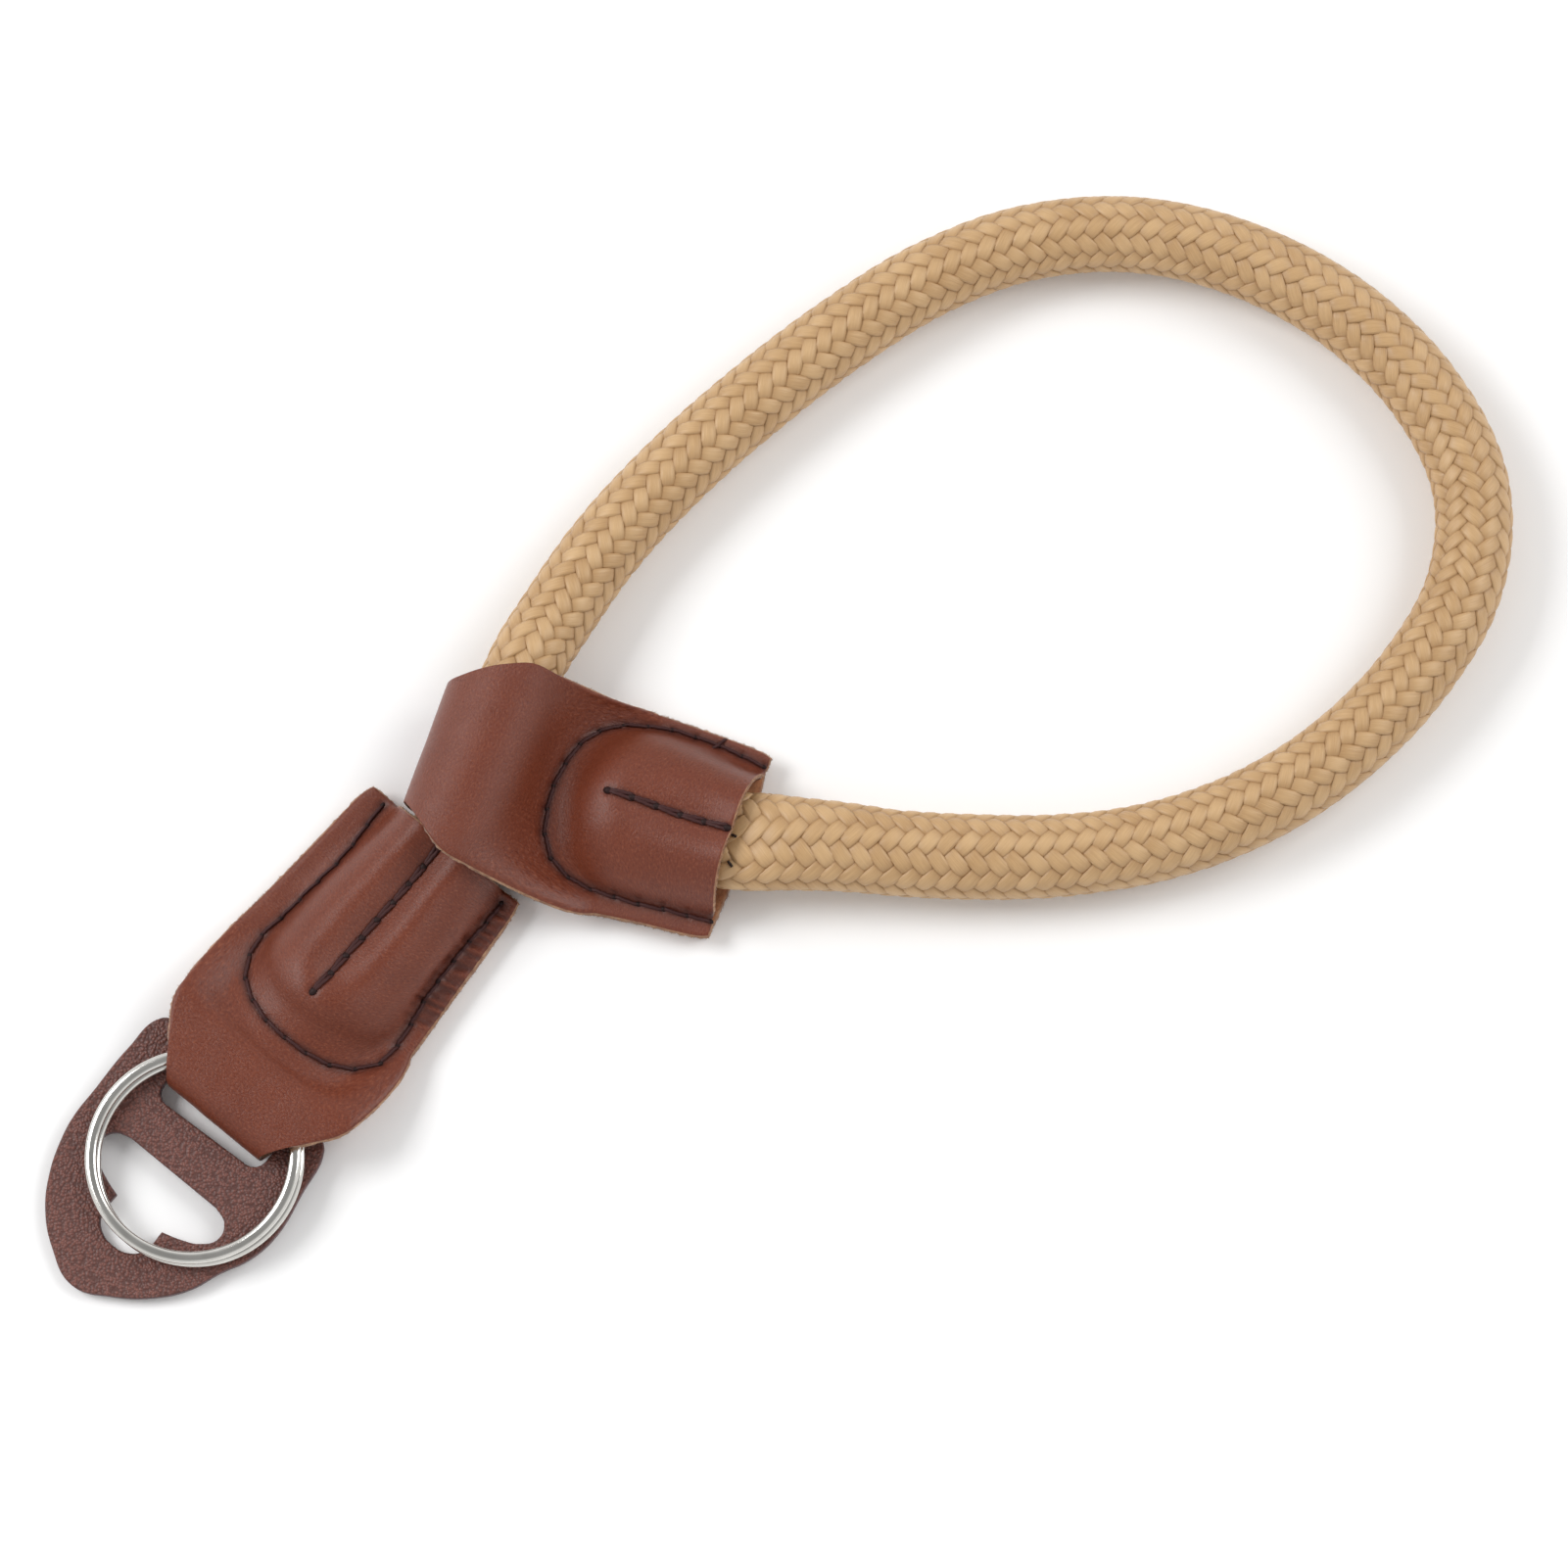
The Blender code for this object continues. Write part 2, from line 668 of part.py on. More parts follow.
def smooth_points(points, spacing):
    """Points read from a smooth curve through the route's own points."""
    smooth = [points[0]]
    for index in range(len(points) - 1):
        start = points[index]
        end = points[index + 1]
        before = points[max(index - 1, 0)]
        after = points[min(index + 2, len(points) - 1)]
        count = max(1, round((end - start).length / spacing))
        lean = (end - start).length / 3
        leave = (end - before).normalized() * lean
        arrive = (after - start).normalized() * lean
        smooth += interpolate_bezier(start, start + leave, end - arrive, end, count + 1)[1:]
    for point in smooth:
        point.z = max(point.z, ROPE_RADIUS)
    return smooth


def make_rope_tube(points):
    """Make the round rope along its centreline as a closed mesh."""
    curve = bpy.data.curves.new("rope_line", "CURVE")
    curve.dimensions = "3D"
    curve.twist_mode = "Z_UP"
    curve.bevel_depth = ROPE_RADIUS
    curve.bevel_resolution = 4
    curve.use_fill_caps = True
    line = curve.splines.new("POLY")
    line.points.add(len(points) - 1)
    for target, point in zip(line.points, points):
        target.co = (*point, 1.0)
    guide = bpy.data.objects.new("rope_line", curve)
    bpy.context.scene.collection.objects.link(guide)
    bpy.context.view_layer.update()
    evaluated = guide.evaluated_get(bpy.context.evaluated_depsgraph_get())
    mesh = bpy.data.meshes.new_from_object(evaluated)
    bpy.data.objects.remove(guide, do_unlink=True)
    shell = bmesh.new()
    shell.from_mesh(mesh)
    bmesh.ops.remove_doubles(shell, verts=shell.verts, dist=0.00001)
    shell.to_mesh(mesh)
    shell.free()
    return mesh


def press_rope(mesh, placement, pocket):
    """Flatten the rope where it lies in a pocket, onto the strip's lower layer."""
    into_strip = placement.inverted()
    last = pocket.press[-1].along
    for vertex in mesh.vertices:
        local = into_strip @ vertex.co
        share = pocket_share(pocket, local.x)
        across = local.y - pocket.centre
        if share < -CUT_END_MARGIN or share > last or abs(across) > 2 * ROPE_RADIUS:
            continue
        half_width, height, groove = pressed_section(pocket, local.x)
        top = (local.z - ROPE_FLOOR) / ROPE_DIAMETER
        across *= half_width / ROPE_RADIUS
        if top > 0.5:
            top *= groove_share(groove, across)
        local.y = pocket.centre + across
        local.z = ROPE_FLOOR + top * height
        vertex.co = placement @ local


def make_rope(collection, material):
    """Make the rope, round along its loop and pressed flat in both pockets."""
    points = smooth_points(rope_route(), ROPE_POINT_SPACING)
    mesh = make_rope_tube(points)
    mesh.name = "wrist_rope"
    press_rope(mesh, tab_matrix(), TAB.pocket)
    press_rope(mesh, slider_matrix(), SLIDER.pocket)
    shade_round(mesh, 60)
    mesh.materials.clear()
    return add_object("wrist_rope", mesh, collection, material)


def add_spline(curve, corners, smooth):
    """Add a closed outline to a flat curve. Smooth says which points are round."""
    line = curve.splines.new("BEZIER")
    line.bezier_points.add(len(corners) - 1)
    for target, (x, y), is_round in zip(line.bezier_points, corners, smooth):
        target.co = (x, y, 0.0)
        kind = "AUTO" if is_round else "VECTOR"
        target.handle_left_type = kind
        target.handle_right_type = kind
    line.use_cyclic_u = True
    line.resolution_u = 4


def pad_outline():
    """Outer edge of the pad in its own frame, whose origin is the bar's front edge."""
    left = []
    right = []
    for along, left_share, right_share in PAD_OUTLINE:
        x = PAD_BAR_WIDTH - along * PAD_LENGTH
        left.append((x, left_share * PAD_WIDTH / 2))
        right.append((x, -right_share * PAD_WIDTH / 2))
    tip = (PAD_BAR_WIDTH - PAD_LENGTH, PAD_TIP_SIDE * PAD_WIDTH / 2)
    corners = left + [tip] + right[::-1]
    smooth = [True] * len(corners)
    smooth[0] = False
    smooth[-1] = False
    return corners, smooth


def strap_slot_width():
    """Width of the slot that the tab's waist passes through."""
    return PAD_BAR_SET_IN + STRIP_THICKNESS + STRAP_SLOT_SLACK


def strap_slot():
    """Slot that the tab passes through, with rounded corners, behind which the bar lies."""
    half_length = WAIST_WIDTH / 2 + 2 * CLEARANCE
    corner = STRAP_SLOT_CORNER
    back = -strap_slot_width()
    corners = []
    for x, y, first in (
        (-corner, half_length - corner, 0.0),
        (back + corner, half_length - corner, 90.0),
        (back + corner, corner - half_length, 180.0),
        (-corner, corner - half_length, 270.0),
    ):
        for step in range(3):
            angle = math.radians(first + 45.0 * step)
            corners.append((x + corner * math.cos(angle), y + corner * math.sin(angle)))
    return corners, [False] * len(corners)


def lug_slot():
    """Mushroom slot for the camera's lug."""
    front = -strap_slot_width() - LUG_SLOT_SET_BACK
    side = []
    for along, share in LUG_CAP:
        side.append((front - along * LUG_SLOT_DEPTH, share * LUG_SLOT_WIDTH / 2))
    for along, share in LUG_STEM:
        side.append((front - along * LUG_SLOT_DEPTH, share * LUG_STEM_WIDTH / 2))
    bottom = [(front - LUG_SLOT_DEPTH, 0.0)]
    corners = side + bottom + [(x, -y) for x, y in side[::-1]]
    cap = [False] + [True] * (len(LUG_CAP) - 1)
    stem = [False] + [True] * (len(LUG_STEM) - 1)
    half = cap + stem
    return corners, half + [True] + half[::-1]


def make_pad(parent, collection, material):
    """Make the slotted pad, flat in its own frame."""
    curve = bpy.data.curves.new("lug_pad", "CURVE")
    curve.dimensions = "2D"
    curve.fill_mode = "BOTH"
    curve.extrude = PAD_THICKNESS / 2
    for corners, smooth in (pad_outline(), strap_slot(), lug_slot()):
        add_spline(curve, corners, smooth)
    pad = add_object("lug_pad", curve, collection, material)
    pad.parent = parent
    pad.location = (0.0, 0.0, PAD_THICKNESS / 2)
    return pad


def ring_profile():
    """Section of the two stacked coils, down the outer side and up the inner side."""
    outer = RING_DIAMETER / 2
    inner = outer - RING_WIRE_WIDTH
    split = RING_SPLIT_DEPTH
    top = RING_COIL_HEIGHT
    cut = RING_CHAMFER
    upper_outer = [(outer - cut, top), (outer, top - cut), (outer, split), (outer - split, 0.0)]
    lower_outer = [(outer, -split), (outer, cut - top), (outer - cut, -top)]
    lower_inner = [(inner + cut, -top), (inner, cut - top), (inner, -split)]
    upper_inner = [(inner + split, 0.0), (inner, split), (inner, top - cut), (inner + cut, top)]
    return upper_outer + lower_outer + lower_inner + upper_inner


def make_ring(parent, collection, material):
    """Make the split ring, turned about its own axis."""
    mesh = bpy.data.meshes.new("split_ring")
    points = [(x, 0.0, z) for x, z in ring_profile()]
    edges = [(index, (index + 1) % len(points)) for index in range(len(points))]
    mesh.from_pydata(points, edges, [])
    ring = add_object("split_ring", mesh, collection, material)
    turn = ring.modifiers.new("turn", "SCREW")
    turn.axis = "Z"
    turn.steps = RING_STEPS
    turn.render_steps = RING_STEPS
    turn.use_merge_vertices = True
    turn.merge_threshold = 0.00005
    turn.use_smooth_shade = True
    ring.parent = parent
    level = PAD_THICKNESS + CLEARANCE + RING_COIL_HEIGHT
    ring.location = (RING_CENTRE - bar_front(), RING_SIDE, level)
    return ring


def make_pad_plane(collection):
    """Make the sloping plane that carries the pad and the ring, from the bar's front edge."""
    plane = bpy.data.objects.new("pad_plane", None)
    collection.objects.link(plane)
    plane.location = (bar_front() - TAB_LENGTH / 2, 0.0, ROPE_FLOOR)
    plane.rotation_euler = (0.0, -pad_slope(), 0.0)
    return plane


def build():
    """Build the strap."""
    clear_scene()
    collection = make_collection(OBJECT_NAME)
    guides = make_collection("guides")
    rope_fabric = make_material("rope_fabric", (0.52, 0.36, 0.17), 0.55)
    strip_leather = make_material("strip_leather", (0.19, 0.055, 0.03), 0.45)
    pad_leather = make_material("pad_leather", (0.13, 0.045, 0.03), 0.6)
    steel = make_material("polished_steel", (0.78, 0.76, 0.72), 0.15, 1.0)

    make_rope(collection, rope_fabric)
    tab = make_strip("ring_tab", tab_rows(), collection, strip_leather)
    tab.matrix_world = tab_matrix()
    slider = make_strip("rope_slider", slider_rows(), collection, strip_leather)
    slider.matrix_world = slider_matrix()
    plane = make_pad_plane(guides)
    make_pad(plane, collection, pad_leather)
    make_ring(plane, collection, steel)


build()
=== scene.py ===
"""Looks of the camera wrist strap: braided rope, sewn leather, slotted pad and split ring."""

import math
from collections import namedtuple

import bpy
import numpy as np
from mathutils import Matrix, Vector, noise
from mathutils.bvhtree import BVHTree
from mathutils.geometry import interpolate_bezier


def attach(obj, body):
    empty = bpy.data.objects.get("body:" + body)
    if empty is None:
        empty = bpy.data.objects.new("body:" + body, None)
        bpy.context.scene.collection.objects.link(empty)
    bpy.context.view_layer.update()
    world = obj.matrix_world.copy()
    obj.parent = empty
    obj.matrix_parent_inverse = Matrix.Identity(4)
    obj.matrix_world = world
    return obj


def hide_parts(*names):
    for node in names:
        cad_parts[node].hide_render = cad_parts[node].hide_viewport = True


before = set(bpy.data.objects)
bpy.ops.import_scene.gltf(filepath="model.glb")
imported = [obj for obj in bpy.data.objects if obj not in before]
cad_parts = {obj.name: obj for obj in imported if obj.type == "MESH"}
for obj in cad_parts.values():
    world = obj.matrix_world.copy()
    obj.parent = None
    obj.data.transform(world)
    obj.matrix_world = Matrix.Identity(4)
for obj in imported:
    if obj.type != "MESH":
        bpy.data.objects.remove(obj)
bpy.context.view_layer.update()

MM = 0.001

# Sizes of the solids, in metres. TAB_TOP_RADIUS and SLIDER_REACH have the scene's own values, and
# STRAP_SLOT_TAPER is the scene's alone: here they follow the photograph more closely.
CLEARANCE = 0.0003
SEAM_GAP = 0.0003
ROPE_DIAMETER = 0.010
PRESSED_SPREAD = 1.42
PRESSED_FLATNESS = 0.62
ROPE_END_SET_BACK = 0.0042
STRIP_THICKNESS = 0.0014
WAIST_WIDTH = 0.0152
SEAM_FLAT = 0.0014
RAMP_BEND = 0.85
MOUTH_NARROWING = 0.55
GROOVE_WIDTH = 0.0026
TAB_LENGTH = 0.0465
TAB_REACH = 0.0002
TAB_FLANGE = 0.0052
TAB_SEAM_SLACK = 0.0013
TAB_MOUTH_SLACK = 0.0014
TAB_FOLD_RADIUS = 0.0015
TAB_TOP_RADIUS = 0.0016
TAB_RAMP_LENGTH = 0.0030
SLIDER_LENGTH = 0.0422
SLIDER_REACH = 0.0004
SLIDER_FLANGE = 0.0032
SLIDER_SEAM_SLACK = 0.0023
SLIDER_MOUTH_SLACK = 0.0020
SLIDER_SEAM_CENTRE = 0.0009
SLIDER_WALL_RUN = 0.0014
SLIDER_SLACK_IN = 0.0002
SLIDER_SLACK_OUT = 0.0020
SLIDER_ENTRY_WIDENING = 0.0008
SLIDER_SET_OUT = 0.0113
SLIDER_TURN = math.radians(-69.5)
PAD_THICKNESS = 0.0013
PAD_LENGTH = 0.0342
PAD_WIDTH = 0.0304
PAD_BAR_WIDTH = 0.0043
PAD_BAR_SET_IN = 0.0018
STRAP_SLOT_SLACK = 0.0018
STRAP_SLOT_CORNER = 0.0017
STRAP_SLOT_TAPER = 0.0007
LUG_SLOT_SET_BACK = 0.0060
LUG_SLOT_WIDTH = 0.0198
LUG_SLOT_DEPTH = 0.0118
LUG_STEM_WIDTH = 0.0076
RING_DIAMETER = 0.028
RING_WIRE_WIDTH = 0.00215
RING_COIL_HEIGHT = 0.0011
RING_SLACK = 0.0019
RING_SIDE = -0.0012
FOLD_STEPS = 4

ROPE_RADIUS = ROPE_DIAMETER / 2
PRESSED_WIDTH = ROPE_DIAMETER * PRESSED_SPREAD
PRESSED_HEIGHT = ROPE_DIAMETER * PRESSED_FLATNESS
SEAM_TOP = 2 * STRIP_THICKNESS + SEAM_GAP
ROPE_FLOOR = STRIP_THICKNESS + CLEARANCE
STEP_CLEARANCE = math.cos(math.radians(45.0 / FOLD_STEPS))
SLIDER_TUBE_RADIUS = (ROPE_RADIUS + CLEARANCE) / STEP_CLEARANCE + STRIP_THICKNESS
CROSSING_IN = SLIDER_TUBE_RADIUS + SLIDER_SLACK_IN
CROSSING_OUT = SLIDER_TUBE_RADIUS + SLIDER_SLACK_OUT
RING_INNER_RADIUS = RING_DIAMETER / 2 - RING_WIRE_WIDTH
RING_WAIST = math.sqrt(RING_INNER_RADIUS**2 - (WAIST_WIDTH / 2 + abs(RING_SIDE)) ** 2)
RING_CENTRE = STRIP_THICKNESS + RING_SLACK - RING_WAIST
RING_REACH = RING_CENTRE + RING_DIAMETER / 2
TAB_SEAM_FOOT = RING_REACH + STRIP_THICKNESS / 2 + TAB_RAMP_LENGTH
SLIDER_SEAM_FOOT = CROSSING_OUT + SLIDER_TUBE_RADIUS + SLIDER_WALL_RUN
TAB_SEAM_HALF = PRESSED_WIDTH / 2 + ROPE_FLOOR + TAB_SEAM_SLACK
SLIDER_SEAM_HALF = PRESSED_WIDTH / 2 + ROPE_FLOOR + SLIDER_SEAM_SLACK

Outline = namedtuple("Outline", "along left right")
SlotPoint = namedtuple("SlotPoint", "along side")
Press = namedtuple("Press", "along spread press taper groove")
Swell = namedtuple("Swell", "before spread")
Seam = namedtuple("Seam", "holes width plies slant knot lift dip")
Strip = namedtuple(
    "Strip", "length half_width reach lower upper start seam_half mouth_half centre press"
)


def table(kind, *rows):
    """Make a table of named rows."""
    return tuple(kind(*row) for row in rows)


# Tables of the solids, as shares of a length along and of half widths. The first rows of
# SLIDER_UPPER and all of SLIDER_LOWER have the scene's own values.
TAB_UPPER = table(
    Outline,
    (0.0, 0.0, 0.0), (0.12, 0.51, 0.56), (0.205, 0.84, 0.93), (0.26, 0.9, 0.98),
    (0.33, 0.94, 0.95), (0.42, 0.95, 0.83), (0.62, 0.88, 0.71), (0.82, 0.81, 0.6),
    (0.975, 0.77, 0.52), (1.0, 0.7, 0.48),
)
TAB_LOWER = table(
    Outline,
    (0.0, 0.0, 0.0), (0.06, 0.0, 0.0), (0.12, 0.4, 0.28), (0.205, 0.86, 0.68), (0.33, 0.98, 0.83),
    (0.42, 0.99, 0.77), (0.62, 0.93, 0.67), (0.975, 0.82, 0.49), (1.0, 0.75, 0.44),
)
SLIDER_UPPER = table(
    Outline,
    (0.0, 0.08, 0.12), (0.053, 0.25, 0.37), (0.105, 0.45, 0.6), (0.167, 0.64, 0.87),
    (0.22, 0.75, 0.97), (0.27, 0.81, 1.02), (0.33, 0.79, 1.05), (0.43, 0.81, 1.09),
    (0.5, 0.9, 1.03), (0.6, 0.97, 0.91), (0.76, 0.96, 0.77), (0.98, 0.9, 0.64), (1.0, 0.85, 0.58),
)
SLIDER_LOWER = table(
    Outline,
    (0.0, 0.08, 0.12), (0.085, 0.34, 0.12), (0.175, 0.6, 0.34), (0.33, 0.72, 0.72),
    (0.43, 0.75, 0.9), (0.6, 0.9, 0.83), (0.8, 0.92, 0.67), (0.98, 0.9, 0.57), (1.0, 0.85, 0.52),
)
PAD_OUTLINE = table(
    Outline,
    (0.0, 0.79, 0.77), (0.035, 0.93, 0.86), (0.2, 0.98, 0.945), (0.4, 0.97, 1.01),
    (0.52, 0.96, 0.96), (0.62, 0.91, 0.85), (0.74, 0.8, 0.74), (0.85, 0.63, 0.54),
    (0.94, 0.38, 0.27),
)
PAD_TIP_SIDE = 0.045
LUG_CAP = table(
    SlotPoint,
    (0.0, 0.72), (0.07, 0.93), (0.24, 1.0), (0.4, 0.86), (0.5, 0.62),
)
LUG_STEM = table(
    SlotPoint,
    (0.56, 1.0), (0.84, 0.94), (0.97, 0.52),
)
TAB_PRESS = table(
    Press,
    (0.0, 1.0, 1.0, 0.58, 0.0), (0.1, 1.0, 1.0, 0.84, 0.04), (0.24, 1.0, 1.0, 1.0, 0.3),
    (0.65, 1.0, 1.0, 1.0, 0.32), (1.0, 0.34, 0.6, 1.0, 0.24), (1.1, 0.05, 0.15, 1.0, 0.0),
    (1.2, 0.0, 0.0, 1.0, 0.0),
)
SLIDER_PRESS = table(
    Press,
    (0.0, 1.0, 1.0, 0.58, 0.0), (0.12, 1.0, 1.0, 0.84, 0.0), (0.28, 1.0, 1.0, 1.0, 0.05),
    (0.7, 0.9, 0.85, 1.0, 0.16), (1.0, 0.62, 0.5, 1.0, 0.12), (1.35, 0.28, 0.22, 1.0, 0.02),
    (1.9, 0.0, 0.0, 1.0, 0.0),
)
POCKET_END_SHARE = 0.8
SWELL_ROUNDNESS = 2.4
SWELL_STEEPNESS = 0.7
SWELL_END_EASE = 0.45
CUT_END_MARGIN = 0.02
FREE_END_LIFT = 0.45
FOOT_LIMIT = 0.92
TAB_ROPE_SHARES = (0.0, 0.16, 0.32, 0.48, 0.64, 0.80)
SLIDER_ROPE_SHARES = (1.02, 0.80, 0.60, 0.40, 0.20, 0.0)
CROSSING_SHARES = (-0.40, -0.22, 0.05, 0.50)
LOOP_ROUTE = (
    (0.0302, 0.0086), (0.0432, 0.0101), (0.0568, 0.0097), (0.0712, 0.0078), (0.0858, 0.0047),
    (0.0992, 0.0004), (0.1112, -0.0065), (0.121, -0.017), (0.1272, -0.0305), (0.1294, -0.0455),
    (0.1272, -0.06), (0.1208, -0.072), (0.1098, -0.0794), (0.0968, -0.0817), (0.0832, -0.0808),
    (0.0702, -0.077), (0.0582, -0.0702), (0.0478, -0.0608), (0.0388, -0.0498), (0.0312, -0.0392),
)

# Rows and columns of the strips' meshes, and the length of the rope's steps
LOWER_ROWS = 44
RING_FOLD_ROWS = (9, 8, 18, 12)
ROPE_FOLD_ROWS = (52, 14, 8)
SEAM_ROWS = 5
BULGE_ROWS = 84
BULGE_COLUMNS = 30
FLANGE_COLUMNS = (1.0, 1.12, 1.24, 1.36, 1.48, 1.6, 1.72, 1.83, 1.91, 1.965, 2.0)
HALF_COLUMNS = [step / BULGE_COLUMNS for step in range(BULGE_COLUMNS)] + list(FLANGE_COLUMNS)
COLUMNS = [-column for column in HALF_COLUMNS[:0:-1]] + HALF_COLUMNS
ROUTE_SPACING = 0.0010

# Braid of the rope: strands each way, the length of one turn, and a strand's half width. A
# strand's crown rises and falls about its own radius as it goes over and under.
BRAID_STRANDS = 12
BRAID_LAY = 0.0300
STRAND_HALF_WIDTH = 0.00102
STRAND_RADIUS = 0.00460
STRAND_WAVE = 0.00032
STRAND_CROWN = 0.00015
STRAND_DIVE = 4.0
STRAND_ARCH = 0.5
STRAND_WANDER = 0.014
STRAND_UNEVENNESS = 0.1
# Share of its width that a strand has halfway down, and how much more it has on top
STRAND_SPREAD = (0.98, 0.03)
# Height of a strand that its material turns into painted shade, darker where it is low: halfway
# down, by its dive, by its arch, and less at its sides
STRAND_SHADE = (0.5, 0.15, 0.35, 0.25)
# Random values along a strand for its wander, its thickness and its tone
STRAND_DRAWS = (90, 140, 160)
STRAND_ACROSS = np.array([-1.0, -0.96, -0.6, 0.0, 0.6, 0.96, 1.0])
CORE_RADIUS = 0.00432
CORE_STEP = 0.002
CORE_SIDES = 16
# Steps of a strand's mesh from one dive under another strand to the next, in strand widths
DIVE_STEPS = (-0.22, 0.0, 0.22, 0.6, 1.0, 1.4)

# How the rope swells sideways before the slider's mouth
ROPE_SWELL = table(
    Swell,
    (-0.002, 0.0), (0.003, 0.09), (0.02, 0.11), (0.032, 0.1), (0.046, 0.04), (0.08, 0.0),
)

# Stitches, in millimetres in each strip's own frame. A thread's twist shows as a wave of its
# radius, which turns along each stitch. A knot's sides lean from one tilt to the other, in degrees.
STITCH_PITCH = 3.2
HOLE_SCATTER = 0.07
THREAD_SIDES = 10
THREAD_STEPS = 12
THREAD_TWIST = 0.14
THREAD_TURNS = 3.36
THREAD_FLATNESS = 0.75
THREAD_DIVE = 6.0
PLY_SPACING = 0.85
KNOT_TILTS = (-35.0, 80.0)
SEAM_KNOT = (0.46, 0.34, 0.30)
CENTRE_KNOT = (0.70, 0.52, 0.56)
SLIDER_TICK = ((34.7, 12.1), (35.9, 14.0))
LOOSE_THREADS = (
    ((40.8, 0.7), (41.9, 0.6), (42.9, 0.2), (43.7, -0.7)),
    ((40.9, -2.7), (41.9, -2.8), (42.7, -3.3)),
)
TAB_SEAM_LINE = (
    (45.4, 10.4), (36.4, 9.9), (31.4, 10.2), (26.0, 10.8), (21.9, 11.1), (18.2, 10.0),
    (15.6, 7.2), (14.2, 3.0), (14.0, -1.6), (14.6, -6.0), (16.4, -9.3), (20.1, -11.6),
    (23.6, -11.3), (31.7, -10.1), (38.9, -9.8), (45.2, -9.7),
)
TAB_CENTRE_LINE = ((20.4, 0.0), (44.9, 0.0))
SLIDER_SEAM_LINE = (
    (41.8, 12.0), (36.0, 12.7), (31.0, 12.8), (26.6, 12.4), (23.2, 11.4), (20.6, 9.6),
    (18.8, 7.2), (17.8, 4.2), (17.4, 1.2), (17.4, -2.0), (17.9, -5.4), (19.4, -8.0),
    (21.9, -9.7), (27.0, -10.6), (36.0, -10.1), (42.0, -9.5),
)
SLIDER_CENTRE_LINE = ((24.6, 0.9), (40.7, 0.9))

# How far a mouth's edge draws back where the leather rises over the rope, a share of the rise
MOUTH_RETREAT = 0.14

# How far the lower layer's end curves back to its corners
LOWER_END_CURVE = 0.0011

# Where the tab's flange is puckered by its stitches, along and across, and how deep the creases
# are, in millimetres
TAB_PUCKERS = ((25.0, 46.5), (-13.6, -9.2))
PUCKER_DEPTH = 0.42

# How widely the thick leather bends in its hollows and how often it is evened out there. A
# strip's hollows begin behind its fold, over the blend's length, and end before its mouth.
TAB_HOLLOW = (0.0042, 2)
SLIDER_HOLLOW = (0.0032, 1)
HOLLOW_START = 0.0055
HOLLOW_BLEND = 0.0030
HOLLOW_END = 3 * MM
SOFTENING_ROUNDS = 14

# Seeds of each strip's unevenness
TAB_SEED = 1
SLIDER_SEED = 2

# Depths and half widths of the stitch furrow and the stitch hole, and the leather's unevenness as
# depths and lengths, in millimetres
FURROW = (0.22, 0.75)
HOLE = (0.25, 0.42)
UNEVENNESS = ((0.12, 8.0), (0.05, 2.8))
EDGE_DROP = 0.22

# What is pared off the leather's thickness at a bulge's mouth, and where along the strip that
# starts and how far it runs, as shares of the length
PARED_SHARE = 0.6
PARED_START = 0.90
PARED_RUN = 0.08

# A cut edge's outermost line: its depth as a share of the thickness, and how far it stands out
# and how that varies, in millimetres. Loose fibres stand between these levels round it, and lean
# along the edge and up or down.
EDGE_CREST = 0.32
CREST_OUT = (0.22, 0.16)
FIBRE_LENGTHS = (0.08, 0.34)
FIBRE_HALF_WIDTH = 0.05
FIBRE_LEVELS = (-0.5, 0.9)
FIBRE_LEAN = (0.18, 0.08)

# The pad's edges are eased this much. The ring's two turns lie aside from each other by an
# offset. Its wire's section is an oval at a roundness of 1 and a rectangle at 0, and it stays a
# hair inside the solid's.
PAD_EASE = 0.00026
RING_OFFSET = 0.00022
RING_ROUNDNESS = 0.96
WIRE_HAIR = 0.00003
RING_SIDES = 24
RING_STEPS = 300
COIL_STEP_HALF = math.radians(13.0)
COIL_END_GAP = math.radians(1.5)

# Camera, in metres in the frame of the solids
CAMERA_TARGET = Vector((0.0576, -0.0272, 0.0))
CAMERA_EYE = Vector((-0.0827, -0.1419, 0.6761))
CAMERA_VIEW = math.radians(16.47)

# Area lights, in metres and watts, the place that they look at, and the floor
LIGHTS = (
    ("key", (-0.22, 0.62, 0.68), (0.5, 0.4), 5.0),
    ("fill", (0.7, -0.4, 0.7), (0.6, 0.6), 3.6),
)
LIGHT_TARGET = (0.05, -0.03, 0.0)
FLOOR_HALF = 3.0
FLOOR_LEVEL = -0.0002


def smooth_step(share):
    """Ease from 0 to 1."""
    share = min(max(share, 0.0), 1.0)
    return share * share * (3.0 - 2.0 * share)


def smooth_value(rows, column, along):
    """Read a column of a table on a smooth curve through its rows."""
    keys = [row[0] for row in rows]
    values = [getattr(row, column) for row in rows]
    if not keys[0] < along < keys[-1]:
        return values[0] if along <= keys[0] else values[-1]
    index = max(i for i in range(len(keys) - 1) if keys[i] <= along)
    gaps = [b - a for a, b in zip(keys, keys[1:])]
    slopes = [(b - a) / gap for a, b, gap in zip(values, values[1:], gaps)]

    def lean(i):
        low, high = slopes[max(i - 1, 0)], slopes[min(i, len(slopes) - 1)]
        return 2.0 * low * high / (low + high) if low * high > 0.0 else 0.0

    t = (along - keys[index]) / gaps[index]
    rise = (values[index + 1] - values[index]) * smooth_step(t)
    bend = t * (1 - t) ** 2 * lean(index) + t * t * (t - 1) * lean(index + 1)
    return values[index] + rise + gaps[index] * bend


